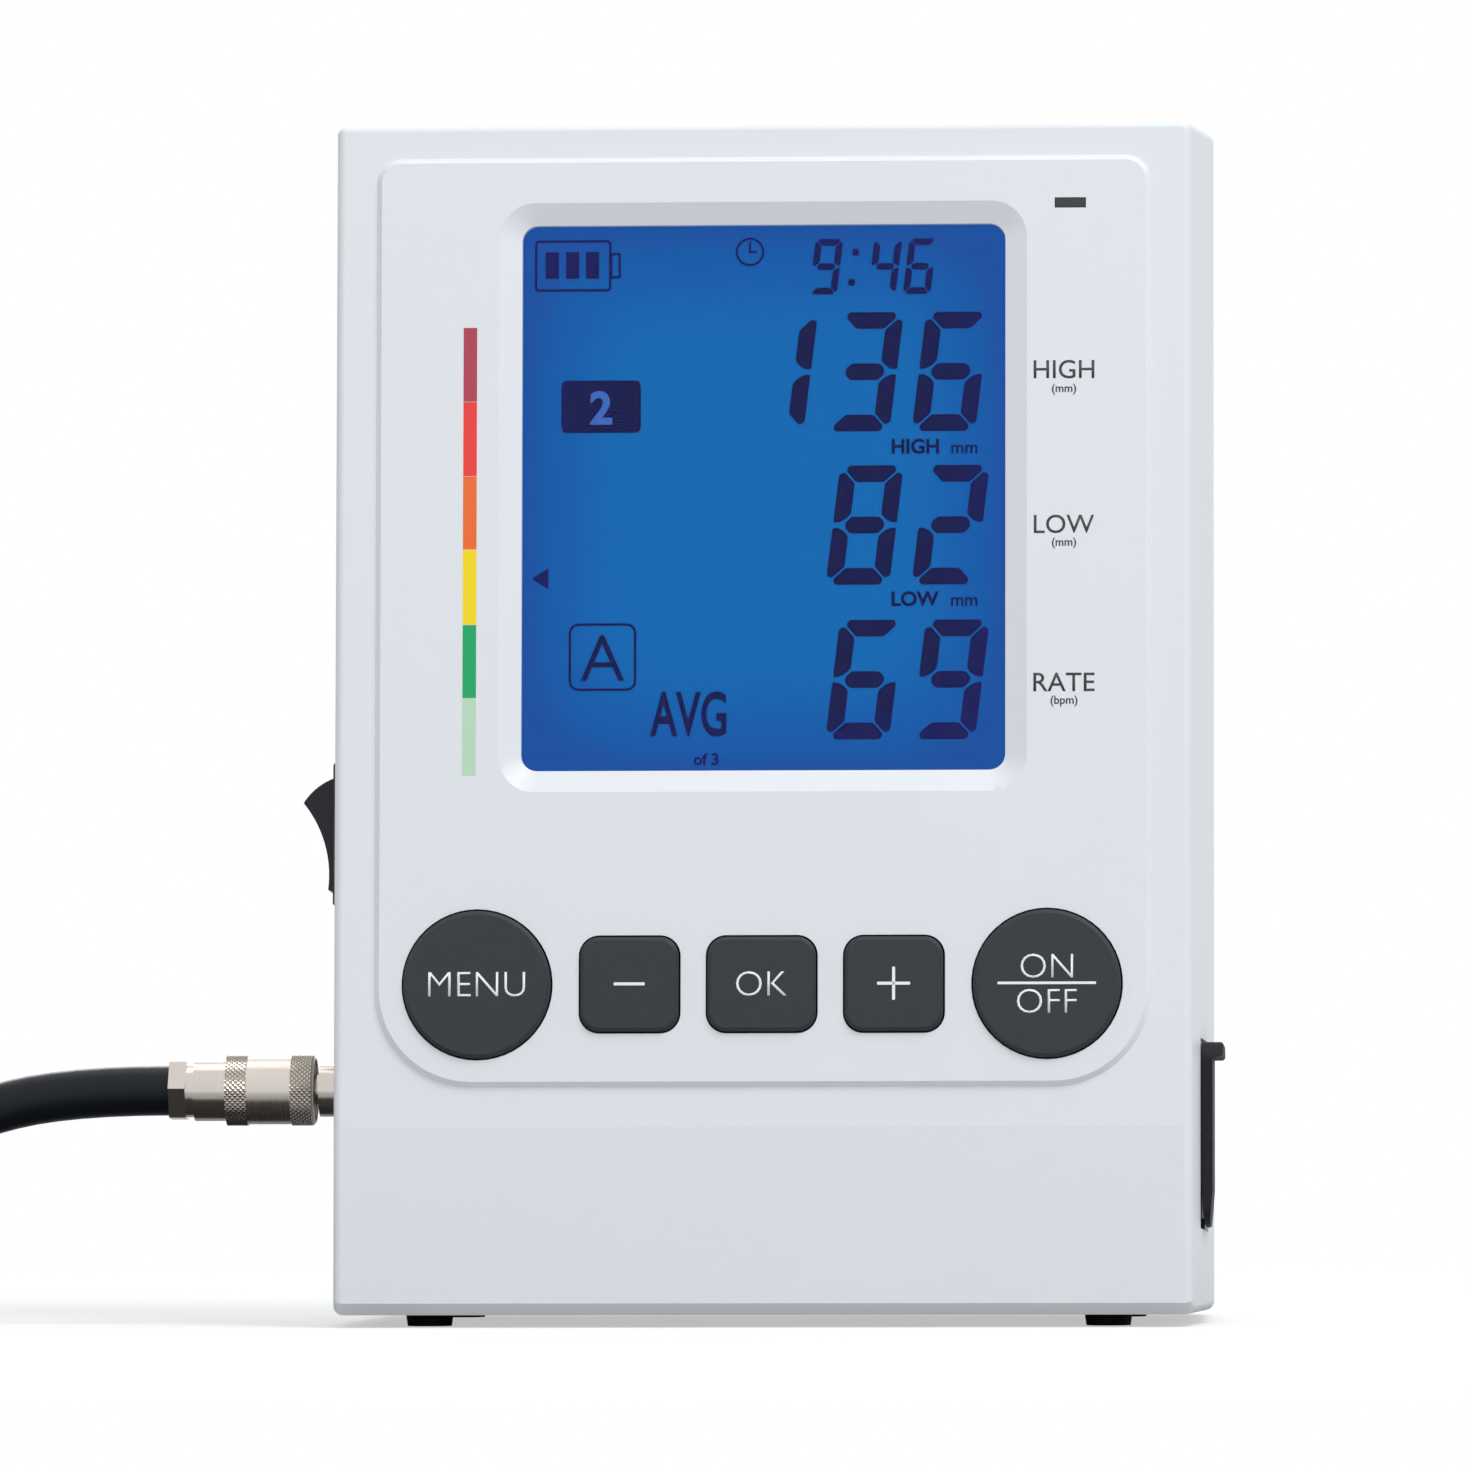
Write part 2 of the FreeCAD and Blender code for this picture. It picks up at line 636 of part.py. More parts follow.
def display_cut():
    """Sloped recess round the display and the opening at its foot."""
    flare = RECESS_MARGIN / RECESS_DEPTH * OVERRUN
    wide = 2 * (RECESS_MARGIN + flare)
    mouth = rectangle(
        WINDOW_WIDTH + wide,
        WINDOW_HEIGHT + wide,
        [RECESS_ROUND + flare] * 4,
        0,
        WINDOW_MIDDLE,
        -PANEL_RAISE - OVERRUN,
    )
    foot_depth = RECESS_DEPTH - PANEL_RAISE
    foot = rectangle(WINDOW_WIDTH, WINDOW_HEIGHT, [WINDOW_ROUND] * 4, 0, WINDOW_MIDDLE, foot_depth)
    slope = Part.makeLoft([mouth, foot], True, True)
    opening = plate(
        WINDOW_WIDTH, WINDOW_HEIGHT, [WINDOW_ROUND] * 4, 0, WINDOW_MIDDLE, (foot_depth, WALL + OVERRUN)
    )
    return slope.fuse(opening)


def status_block(growth, y_range):
    """Outline of the status light, grown on every side, between two depths."""
    width = STATUS_WIDTH + 2 * growth
    height = STATUS_HEIGHT + 2 * growth
    return box(about(STATUS_X, width), y_range, about(STATUS_Z, height))


def side_cuts():
    """Openings of the side walls for the rocker, the air outlet, the socket and its flap."""
    outside = half_width(PARTING_DEPTH) + OVERRUN
    inside = half_width(0) - WALL - OVERRUN
    bezel_seat = box(
        (-outside, -ROCKER_PAD),
        about(ROCKER_DEPTH, BEZEL_WIDTH + 2 * SWITCH_FIT),
        about(ROCKER_RISE, BEZEL_LENGTH + 2 * SWITCH_FIT),
    )
    switch_hole = box(
        (-outside, -inside),
        about(ROCKER_DEPTH, SWITCH_WIDTH + 2 * SWITCH_FIT),
        about(ROCKER_RISE, SWITCH_LENGTH + 2 * SWITCH_FIT),
    )
    air = V(0, AIR_DEPTH, AIR_RISE)
    neck_seat = rod(
        NIPPLE_NECK_DIAMETER + 2 * NIPPLE_PAD_LAP, air - X_AXIS * NIPPLE_PAD, air - X_AXIS * outside
    )
    shank_hole = rod(
        NIPPLE_SHANK_DIAMETER + 2 * NIPPLE_SHANK_FIT, air - X_AXIS * inside, air - X_AXIS * outside
    )
    nut_seat = rod(NUT_PAD_DIAMETER, air - X_AXIS * inside, air - X_AXIS * NUT_PAD)
    pocket_foot = -FLAP_FOOT_DROP - FLAP_POCKET_LAP
    pocket_height = FLAP_LENGTH + 2 * FLAP_POCKET_LAP
    flap_pocket = box(
        (FLAP_PAD, outside),
        about(SOCKET_DEPTH, FLAP_POCKET_WIDTH),
        (pocket_foot, pocket_foot + pocket_height),
    )
    socket = V(0, SOCKET_DEPTH, SOCKET_RISE)
    socket_hole = rod(SOCKET_HOLE_DIAMETER, socket + X_AXIS * inside, socket + X_AXIS * outside)
    anchor_slot = box(
        (inside, outside),
        about(SOCKET_DEPTH, ANCHOR_WIDTH + 2 * ANCHOR_FIT),
        about(FLAP_HINGE_Z, ANCHOR_HEIGHT + 2 * ANCHOR_FIT),
    )
    return [bezel_seat, switch_hole, neck_seat, shank_hole, nut_seat, flap_pocket, socket_hole, anchor_slot]


def foot_places():
    """Places of the rubber feet on the underside."""
    return [
        V(side * FOOT_OFFSET, y, 0)
        for side in (-1, 1)
        for y in (FRONT_Y + FOOT_FRONT_SET, BACK_Y - FOOT_REAR_SET)
    ]


def foot_pockets():
    """Shallow pockets of the underside that hold the feet."""
    pockets = []
    for place in foot_places():
        start = place + Z_AXIS * (UNDERSIDE_Z - OVERRUN)
        end = place + Z_AXIS * (UNDERSIDE_Z + FOOT_SINK)
        pockets.append(rod(FOOT_DIAMETER + 2 * FOOT_FIT, start, end))
    return pockets


def front_shell():
    """Front of the housing: raised panel, display recess, key holes, side openings and posts."""
    shell = rounded_half(FRONT_DEPTHS).fuse(on_face(raised_panel())).cut(front_cavity())
    posts = []
    holes = []
    for x, rise in BOARD_POSTS:
        start = V(x, 0, rise)
        posts.append(rod(BOARD_POST_DIAMETER, start, start + Y_AXIS * BOARD_FRONT))
        hole_start = start + Y_AXIS * (BOARD_BACK - BOARD_SCREW_LENGTH - BOARD_SCREW_DIAMETER)
        holes.append(rod(BOARD_SCREW_DIAMETER, hole_start, start + Y_AXIS * PARTING_DEPTH))
    for x, rise in SCREW_PLACES:
        start = V(x, 0, rise)
        posts.append(rod(SCREW_POST_DIAMETER, start, start + Y_AXIS * PARTING_DEPTH))
        hole_start = start + Y_AXIS * (PARTING_DEPTH + SCREW_SEAT - SCREW_LENGTH - SCREW_DIAMETER)
        holes.append(rod(SCREW_DIAMETER, hole_start, start + Y_AXIS * (PARTING_DEPTH + OVERRUN)))
    inner = half_block(FRONT_DEPTHS, WALL / 2)
    shell = shell.fuse([on_face(post).common(inner) for post in posts])
    cuts = holes + side_cuts() + [display_cut()]
    cuts += [key_block(name, KEY_GAP, (-OVERRUN, WALL + KEY_SEAT_GAP)) for name in KEYS]
    cuts.append(status_block(STATUS_CLEARANCE, (-OVERRUN, WALL + STATUS_CLEARANCE)))
    return shell.cut([on_face(cut) for cut in cuts] + foot_pockets())


# Battery compartment on the back

CELLS_WIDTH = CELL_COUNT * CELL_PITCH + 2 * CELL_AIR
CELLS_HEIGHT = CELL_LENGTH + CELL_TIP_LENGTH + 2 * CONTACT_ROOM
CELLS_MIDDLE = TUB_RISE + DOOR_LEDGE + CELLS_HEIGHT / 2
CELL_AXIS_Y = -DOOR_THICKNESS - DOOR_SEAT_GAP - CELL_AIR - CELL_DIAMETER / 2
TUB_FLOOR_Y = CELL_AXIS_Y - CELL_DIAMETER / 2 - CELL_AIR
OPENING_WIDTH = CELLS_WIDTH + 2 * DOOR_LEDGE
OPENING_HEIGHT = CELLS_HEIGHT + 2 * DOOR_LEDGE
DOOR_HINGE_Y = -DOOR_THICKNESS / 2
DOOR_HINGE_Z = TUB_RISE + DOOR_GAP + DOOR_THICKNESS / 2
HOOK_FRONT_Y = -WALL - HOOK_GAP
HOOK_BACK_Y = HOOK_FRONT_Y - HOOK_THICKNESS
HOOK_PLACES = [side * CELL_PITCH for side in (-1, 1)]


def battery_tub():
    """Outside of the compartment that hangs in from the back wall."""
    return plate(
        OPENING_WIDTH + 2 * TUB_WALL,
        OPENING_HEIGHT + 2 * TUB_WALL + 2 * HOOK_ROOM,
        [DOOR_ROUND] * 4,
        0,
        CELLS_MIDDLE,
        (TUB_FLOOR_Y - TUB_WALL, -WALL / 2),
    )


def battery_cuts():
    """Cell space, door opening, hook slots and thumb notch of the back shell."""
    cells = plate(CELLS_WIDTH, CELLS_HEIGHT, [DOOR_ROUND] * 4, 0, CELLS_MIDDLE, (TUB_FLOOR_Y, OVERRUN))
    opening = plate(
        OPENING_WIDTH,
        OPENING_HEIGHT,
        [0, 0, DOOR_ROUND + DOOR_GAP, DOOR_ROUND + DOOR_GAP],
        0,
        CELLS_MIDDLE,
        (-DOOR_THICKNESS - DOOR_SEAT_GAP, OVERRUN),
    )
    slots = []
    for x in HOOK_PLACES:
        width = about(x, HOOK_WIDTH + 2 * HOOK_GAP)
        back = HOOK_BACK_Y - HOOK_ROOM
        slots.append(box(width, (back, -WALL), (TUB_RISE - HOOK_ROOM, TUB_RISE)))
        slots.append(box(width, (back, DOOR_HINGE_Y), (TUB_RISE, TUB_RISE + DOOR_LEDGE)))
    notch = plate(
        THUMB_NOTCH_WIDTH,
        2 * THUMB_NOTCH_HEIGHT,
        [THUMB_NOTCH_HEIGHT - DOOR_GAP] * 4,
        0,
        TUB_RISE + OPENING_HEIGHT,
        (-THUMB_NOTCH_DEPTH, OVERRUN),
    )
    return [cells, opening, notch] + slots


def screw_columns(growth):
    """Columns of the screw posts through the whole housing, grown on every side."""
    columns = []
    for x, rise in SCREW_PLACES:
        column = rod(SCREW_POST_DIAMETER + 2 * growth, V(x, 0, rise), V(x, BASE_DEPTH, rise))
        columns.append(on_face(column))
    return columns


def back_shell():
    """Back of the housing: sloping cover with a locating lip, screw tunnels and the battery tub."""
    shell = rounded_half(REAR_DEPTHS).cut(rear_cavity())
    lip_inset = WALL + LIP_CLEARANCE
    lip_depths = (PARTING_DEPTH - LIP_HEIGHT, PARTING_DEPTH)
    root_depths = (PARTING_DEPTH, PARTING_DEPTH + LIP_ROOT)
    lip = half_block(lip_depths, lip_inset).cut(half_block(lip_depths, lip_inset + LIP_THICKNESS))
    lip = lip.cut(screw_columns(LIP_CLEARANCE))
    root = half_block(root_depths, WALL / 2).cut(half_block(root_depths, lip_inset + LIP_THICKNESS))
    parts = [lip, root, on_back(battery_tub())]
    inner = half_block(REAR_DEPTHS, WALL / 2)
    tunnels = []
    for x, rise in SCREW_PLACES:
        seam = V(x, PARTING_DEPTH, rise)
        seat = seam + Y_AXIS * SCREW_SEAT
        end = V(x, BASE_DEPTH + OVERRUN, rise)
        parts.append(on_face(rod(SCREW_POST_DIAMETER, seam, end)).common(inner))
        tunnels.append(rod(SCREW_DIAMETER + 2 * SCREW_CLEARANCE, seam - Y_AXIS * OVERRUN, seat))
        tunnels.append(rod(SCREW_HEAD_DIAMETER + 2 * SCREW_CLEARANCE, seat, end))
    groove_depths = (PARTING_DEPTH - PARTING_GAP, PARTING_DEPTH + PARTING_GAP)
    groove = half_block(groove_depths, -OVERRUN).cut(half_block(groove_depths, lip_inset))
    groove = groove.cut(screw_columns(0))
    shell = shell.fuse(parts).cut([on_face(tunnel) for tunnel in tunnels] + [groove])
    shell = shell.cut([on_back(cut) for cut in battery_cuts()])
    return shell.cut(foot_pockets()).removeSplitter()


def battery_door():
    """Door plate turned on its rounded lower edge, with two hooks behind the wall."""
    foot = TUB_RISE + DOOR_GAP
    top = TUB_RISE + OPENING_HEIGHT - DOOR_GAP
    half = OPENING_WIDTH / 2 - DOOR_GAP
    profile = [
        V(-half, -DOOR_THICKNESS, foot),
        V(-half, 0, foot),
        V(-half, 0, top),
        V(-half, -DOOR_THICKNESS, top),
    ]
    edge_round = DOOR_THICKNESS / 2
    slab = Part.Face(outline(profile, [edge_round, edge_round, 0, 0])).extrude(V(2 * half, 0, 0))
    face = plate(
        2 * half, top - foot, [0, 0, DOOR_ROUND, DOOR_ROUND], 0, (foot + top) / 2, (-DOOR_THICKNESS, 0)
    )
    door = slab.common(face)
    for x in HOOK_PLACES:
        root = box(
            about(x, HOOK_WIDTH),
            (HOOK_BACK_Y, DOOR_HINGE_Y),
            about(DOOR_HINGE_Z, HOOK_THICKNESS),
        )
        leg = box(
            about(x, HOOK_WIDTH),
            (HOOK_BACK_Y, HOOK_FRONT_Y),
            (TUB_RISE - HOOK_DROP, DOOR_HINGE_Z + HOOK_THICKNESS / 2),
        )
        door = door.fuse([root, leg])
    return on_back(door.removeSplitter())


def cell_places():
    """Middle of each cell across the compartment, with the end its tip points to."""
    first = -(CELL_COUNT - 1) / 2
    return [((first + index) * CELL_PITCH, 1 if index % 2 == 0 else -1) for index in range(CELL_COUNT)]


def battery_cells():
    """Round cells side by side, every second one turned over."""
    cells = []
    for x, way in cell_places():
        middle = V(x, CELL_AXIS_Y, CELLS_MIDDLE)
        foot = middle - Z_AXIS * (way * (CELL_LENGTH + CELL_TIP_LENGTH) / 2)
        shoulder = foot + Z_AXIS * (way * CELL_LENGTH)
        can = rod(CELL_DIAMETER, foot, shoulder)
        cells.append(can.fuse(rod(CELL_TIP_DIAMETER, shoulder, shoulder + Z_AXIS * (way * CELL_TIP_LENGTH))))
    return on_back(Part.makeCompound(cells))


def cell_contacts():
    """Contact at each end of each cell: a plate on the wall with a raised nub."""
    contacts = []
    for x, _ in cell_places():
        for end in (-1, 1):
            wall = CELLS_MIDDLE + end * CELLS_HEIGHT / 2
            inner = wall - end * CONTACT_THICKNESS
            leaf = box(
                about(x, CONTACT_WIDTH), about(CELL_AXIS_Y, CONTACT_HEIGHT), tuple(sorted((wall, inner)))
            )
            tip = wall - end * CONTACT_ROOM
            nub = box(
                about(x, CONTACT_NUB_WIDTH), about(CELL_AXIS_Y, CONTACT_NUB_WIDTH), tuple(sorted((wall, tip)))
            )
            contacts.append(leaf.fuse(nub).removeSplitter())
    return on_back(Part.makeCompound(contacts))


# Display


def display_plate(lap, y_range):
    """Plate of the display opening's outline, grown by a lap."""
    rounds = [WINDOW_ROUND] * 4
    return plate(WINDOW_WIDTH + 2 * lap, WINDOW_HEIGHT + 2 * lap, rounds, 0, WINDOW_MIDDLE, y_range)


def display_window():
    """Clear pane fixed behind the opening."""
    return on_face(display_plate(PANE_LAP, (WALL, PANE_BACK)))


def lcd_panel():
    """Glass of the liquid crystal display."""
    return on_face(display_plate(LCD_LAP, (LCD_FRONT, LCD_BACK)))


def backlight():
    """Light guide behind the glass."""
    return on_face(display_plate(LCD_LAP, (LCD_BACK, BACKLIGHT_BACK)))


def display_tray():
    """Tray that holds the display stack off the board on four legs."""
    hold = LCD_LAP + TRAY_CLEARANCE
    tray = display_plate(hold + TRAY_WALL, (LCD_FRONT, TRAY_BACK))
    tray = tray.cut(display_plate(hold, (LCD_FRONT - OVERRUN, BACKLIGHT_BACK)))
    legs = []
    for side in (-1, 1):
        for way in (-1, 1):
            x = side * (WINDOW_WIDTH / 2 - TRAY_LEG_INSET)
            z = WINDOW_MIDDLE + way * (WINDOW_HEIGHT / 2 - TRAY_LEG_INSET)
            legs.append(rod(TRAY_LEG_DIAMETER, V(x, TRAY_BACK - TRAY_WALL / 2, z), V(x, BOARD_FRONT, z)))
    return on_face(tray.fuse(legs).removeSplitter())


def status_pipe():
    """Light pipe of the status light, held by a flange behind the wall."""
    tail_end = BOARD_FRONT - LED_HEIGHT - LED_AIR
    pipe = status_block(0, (-PANEL_RAISE, tail_end))
    flange_back = WALL + STATUS_FLANGE_THICKNESS
    return on_face(pipe.fuse(status_block(STATUS_FLANGE_LAP, (WALL, flange_back))).removeSplitter())


def status_led():
    """Small LED on the board behind the light pipe."""
    chip = box(
        about(STATUS_X, LED_LENGTH), (BOARD_FRONT - LED_HEIGHT, BOARD_FRONT), about(STATUS_Z, LED_WIDTH)
    )
    return on_face(chip)


# Keys and their switches


def key_cap(name):
    """Hollow key cap with a holding flange behind the wall and a stem to its switch."""
    x = KEYS[name][0]
    flange_front = WALL + KEY_SEAT_GAP
    back = flange_front + KEY_FLANGE_THICKNESS
    cap = key_block(name, 0, (KEY_FRONT, back))
    front = [edge for edge in cap.Edges if abs(edge.BoundBox.YMax - KEY_FRONT) < KEY_EDGE_BEVEL / 2]
    cap = cap.makeChamfer(KEY_EDGE_BEVEL, front)
    flange = key_block(name, KEY_GAP + KEY_FLANGE_LAP, (flange_front, back))
    hollow = key_block(name, -KEY_SKIN, (KEY_FRONT + KEY_SKIN, back + OVERRUN))
    stem = rod(
        KEY_STEM_DIAMETER, V(x, KEY_FRONT + KEY_SKIN / 2, KEY_ROW_RISE), V(x, STEM_END, KEY_ROW_RISE)
    )
    return on_face(cap.fuse(flange).cut(hollow).fuse(stem).removeSplitter())


def plunger(name):
    """Plunger of the switch under a key, touching the key's stem."""
    start = V(KEYS[name][0], STEM_END, KEY_ROW_RISE)
    return on_face(rod(PLUNGER_DIAMETER, start, start + Y_AXIS * PLUNGER_LENGTH))


def tact_switches():
    """Switch housings on the board, one under each key."""
    housings = []
    for x, *_ in KEYS.values():
        housing = box(about(x, TACT_SIZE), (TACT_TOP, BOARD_FRONT), about(KEY_ROW_RISE, TACT_SIZE))
        mouth = V(x, TACT_TOP, KEY_ROW_RISE)
        bore = rod(PLUNGER_DIAMETER + 2 * PLUNGER_CLEARANCE, mouth, mouth + Y_AXIS * TACT_BORE_DEPTH)
        housings.append(housing.cut(bore))
    return on_face(Part.makeCompound(housings))


# Board and what stands on it


def main_board():
    """Circuit board on the posts of the front shell."""
    foot = -BOARD_DROP
    board = box((-BOARD_HALF_WIDTH, BOARD_HALF_WIDTH), (BOARD_FRONT, BOARD_BACK), (foot, BOARD_TOP))
    holes = []
    for x, rise in BOARD_POSTS:
        start = V(x, 0, rise)
        holes.append(rod(BOARD_SCREW_DIAMETER + 2 * SCREW_CLEARANCE, start, start + Y_AXIS * PARTING_DEPTH))
    return on_face(board.cut(holes))


DRIVE_LENGTH_SHARE = 0.6
DRIVE_WIDTH_SHARE = 0.16


def screw(diameter, length, head_diameter, head_height, seat):
    """Cross-head screw whose head sits on a seat and whose shank runs towards the front."""
    middle = head_height / 2
    shank = rod(diameter, seat - Y_AXIS * length, seat + Y_AXIS * middle)
    head = rod(head_diameter, seat, seat + Y_AXIS * head_height)
    depths = (seat.y + middle, seat.y + head_height + OVERRUN)
    long_side = head_diameter * DRIVE_LENGTH_SHARE
    short_side = head_diameter * DRIVE_WIDTH_SHARE
    across = box(about(seat.x, long_side), depths, about(seat.z, short_side))
    upright = box(about(seat.x, short_side), depths, about(seat.z, long_side))
    return shank.fuse(head).cut([across, upright])


def board_screws():
    """Screws that hold the board on its posts."""
    screws = []
    for x, rise in BOARD_POSTS:
        seat = V(x, BOARD_BACK, rise)
        screws.append(
            screw(
                BOARD_SCREW_DIAMETER,
                BOARD_SCREW_LENGTH,
                BOARD_SCREW_HEAD_DIAMETER,
                BOARD_SCREW_HEAD_HEIGHT,
                seat,
            )
        )
    return on_face(Part.makeCompound(screws))


def housing_screws():
    """Screws that hold the back shell to the posts of the front shell."""
    screws = []
    for x, rise in SCREW_PLACES:
        seat = V(x, PARTING_DEPTH + SCREW_SEAT, rise)
        screws.append(screw(SCREW_DIAMETER, SCREW_LENGTH, SCREW_HEAD_DIAMETER, SCREW_HEAD_HEIGHT, seat))
    return on_face(Part.makeCompound(screws))


def buzzer():
    """Round sounder on the back of the board."""
    start = V(BUZZER_OFFSET, BOARD_BACK, BOARD_TOP - BUZZER_TOP_DROP)
    end = start + Y_AXIS * BUZZER_HEIGHT
    can = rod(BUZZER_DIAMETER, start, end)
    return on_face(can.cut(rod(BUZZER_BORE, end - Y_AXIS * (BUZZER_HEIGHT / 2), end)))


# Air path

MANIFOLD_LEFT = -NUT_PAD + NUT_THICKNESS + NUT_PAD_LAP
PORT_X = SWITCH_END + SENSOR_SWITCH_GAP + SENSOR_SIZE / 2
MANIFOLD_RIGHT = PORT_X + MANIFOLD_PORT_INSET
AIR_AXIS = V(0, AIR_DEPTH, AIR_RISE)
PORT = V(PORT_X, AIR_DEPTH, AIR_RISE)
SENSOR_FOOT = AIR_RISE + MANIFOLD_SIZE / 2 + SENSOR_TUBE_LENGTH
VALVE_LEFT = MANIFOLD_RIGHT + VALVE_TUBE_LENGTH
PUMP_FOOT = AIR_RISE + PUMP_TUBE_RISE
PUMP_AXIS_RISE = PUMP_FOOT + PUMP_HEAD_SIZE / 2
PUMP_HEAD_RIGHT = PORT_X + PUMP_HEAD_LENGTH / 2


def nozzle(start, way):
    """Round spigot that a tube slips over, reaching back into the piece that carries it."""
    return rod(NOZZLE_DIAMETER, start - way * NOZZLE_LENGTH / 2, start + way * NOZZLE_LENGTH)


def air_nipple():
    """Outlet fitting: neck and spigot outside, threaded shank and tail inside, bored through."""
    outer = -NIPPLE_PAD - NIPPLE_NECK_LENGTH
    tip = outer - NIPPLE_SPIGOT_LENGTH
    tail = MANIFOLD_LEFT + NIPPLE_TAIL_LENGTH
    bore = NIPPLE_BORE / 2
    profile = [
        (tip, bore),
        (tip, NIPPLE_SPIGOT_DIAMETER / 2),
        (outer, NIPPLE_SPIGOT_DIAMETER / 2),
        (outer, NIPPLE_NECK_DIAMETER / 2),
        (-NIPPLE_PAD, NIPPLE_NECK_DIAMETER / 2),
        (-NIPPLE_PAD, NIPPLE_SHANK_DIAMETER / 2),
        (MANIFOLD_LEFT, NIPPLE_SHANK_DIAMETER / 2),
        (MANIFOLD_LEFT, NIPPLE_TAIL_DIAMETER / 2),
        (tail, NIPPLE_TAIL_DIAMETER / 2),
        (tail, bore),
    ]
    return on_face(turned(profile, AIR_DEPTH, AIR_RISE))


def nipple_nut():
    """Hexagonal nut that clamps the outlet to the side wall."""
    span = (-NUT_PAD, -NUT_PAD + NUT_THICKNESS)
    bar = hexagon_bar(NUT_ACROSS_FLATS, span, AIR_DEPTH, AIR_RISE)
    hole = rod(
        NIPPLE_SHANK_DIAMETER + 2 * NIPPLE_SHANK_FIT,
        AIR_AXIS + X_AXIS * (span[0] - OVERRUN),
        AIR_AXIS + X_AXIS * (span[1] + OVERRUN),
    )
    return on_face(bar.cut(hole))


def air_manifold():
    """Block on the board that joins the outlet to the sensor, the valve and the pump."""
    block = box(
        (MANIFOLD_LEFT, MANIFOLD_RIGHT), about(AIR_DEPTH, MANIFOLD_SIZE), about(AIR_RISE, MANIFOLD_SIZE)
    )
    half = MANIFOLD_SIZE / 2
    ways = [
        (V(MANIFOLD_RIGHT, AIR_DEPTH, AIR_RISE), X_AXIS),
        (PORT + Z_AXIS * half, Z_AXIS),
        (PORT + Y_AXIS * half, Y_AXIS),
    ]
    block = block.fuse([nozzle(start, way) for start, way in ways])
    socket_end = AIR_AXIS + X_AXIS * (MANIFOLD_LEFT + NIPPLE_TAIL_LENGTH + NOZZLE_FIT)
    cuts = [
        rod(NIPPLE_TAIL_DIAMETER + 2 * NOZZLE_FIT, AIR_AXIS + X_AXIS * (MANIFOLD_LEFT - OVERRUN), socket_end)
    ]
    cuts.append(rod(MANIFOLD_BORE, socket_end, AIR_AXIS + X_AXIS * (MANIFOLD_RIGHT + OVERRUN)))
    for start, way in ways[1:]:
        cuts.append(rod(MANIFOLD_BORE, PORT, start + way * OVERRUN))
    return on_face(block.cut(cuts).removeSplitter())


def tube(path, start, way):
    """Soft tube along a path, bored to slip over the nozzles at its ends."""
    outer = Part.Wire(Part.Circle(start, way, TUBE_DIAMETER / 2).toShape())
    bore = Part.Wire(Part.Circle(start, way, NOZZLE_DIAMETER / 2 + NOZZLE_FIT).toShape())
    return path.makePipeShell([outer], True, False).cut(path.makePipeShell([bore], True, False))


def air_tubes():
    """Tubes from the manifold to the valve, the sensor and the pump."""
    half = MANIFOLD_SIZE / 2
    valve_start = V(MANIFOLD_RIGHT, AIR_DEPTH, AIR_RISE)
    valve_path = Part.Wire(Part.LineSegment(valve_start, V(VALVE_LEFT, AIR_DEPTH, AIR_RISE)).toShape())
    sensor_start = PORT + Z_AXIS * half
    sensor_path = Part.Wire(Part.LineSegment(sensor_start, V(PORT_X, AIR_DEPTH, SENSOR_FOOT)).toShape())
    pump_start = PORT + Y_AXIS * half
    corner = V(PORT_X, PUMP_DEPTH, AIR_RISE)
    bend_start = corner - Y_AXIS * TUBE_BEND_RADIUS
    bend_end = corner + Z_AXIS * TUBE_BEND_RADIUS
    inward = (Z_AXIS - Y_AXIS).normalize()
    bend_middle = corner + inward * (TUBE_BEND_RADIUS * (math.sqrt(2) - 1))
    pump_path = Part.Wire(
        [
            Part.LineSegment(pump_start, bend_start).toShape(),
            Part.Arc(bend_start, bend_middle, bend_end).toShape(),
            Part.LineSegment(bend_end, V(PORT_X, PUMP_DEPTH, PUMP_FOOT)).toShape(),
        ]
    )
    tubes = [
        tube(valve_path, valve_start, X_AXIS),
        tube(sensor_path, sensor_start, Z_AXIS),
        tube(pump_path, pump_start, Y_AXIS),
    ]
    return on_face(Part.makeCompound(tubes))


def pressure_sensor():
    """Pressure sensor on the back of the board with its nozzle pointing down."""
    body = box(
        about(PORT_X, SENSOR_SIZE),
        (BOARD_BACK, BOARD_BACK + SENSOR_HEIGHT),
        (SENSOR_FOOT, SENSOR_FOOT + SENSOR_SIZE),
    )
    return on_face(body.fuse(nozzle(V(PORT_X, AIR_DEPTH, SENSOR_FOOT), Z_AXIS * -1)).removeSplitter())


def release_valve():
    """Solenoid valve on the back of the board that lets the cuff down."""
    body = box(
        (VALVE_LEFT, VALVE_LEFT + VALVE_LENGTH),
        (BOARD_BACK, BOARD_BACK + VALVE_HEIGHT),
        about(AIR_RISE, VALVE_WIDTH),
    )
    return on_face(body.fuse(nozzle(V(VALVE_LEFT, AIR_DEPTH, AIR_RISE), X_AXIS * -1)).removeSplitter())


def pump_head():
    """Diaphragm head of the pump with its outlet pointing down."""
    size = PUMP_HEAD_SIZE
    block = box(
        about(PORT_X, PUMP_HEAD_LENGTH),
        about(PUMP_DEPTH, size),
        (PUMP_FOOT, PUMP_FOOT + size),
    )
    long_edges = [edge for edge in block.Edges if edge.BoundBox.XLength > PUMP_HEAD_LENGTH / 2]
    block = block.makeFillet(PUMP_HEAD_ROUND, long_edges)
    outlet = nozzle(V(PORT_X, PUMP_DEPTH, PUMP_FOOT), Z_AXIS * -1)
    return on_face(block.fuse(outlet).removeSplitter())


def motor_rod(diameter, x_range):
    """Cylinder on the pump's axis."""
    axis = V(0, PUMP_DEPTH, PUMP_AXIS_RISE)
    return rod(diameter, axis + X_AXIS * x_range[0], axis + X_AXIS * x_range[1])


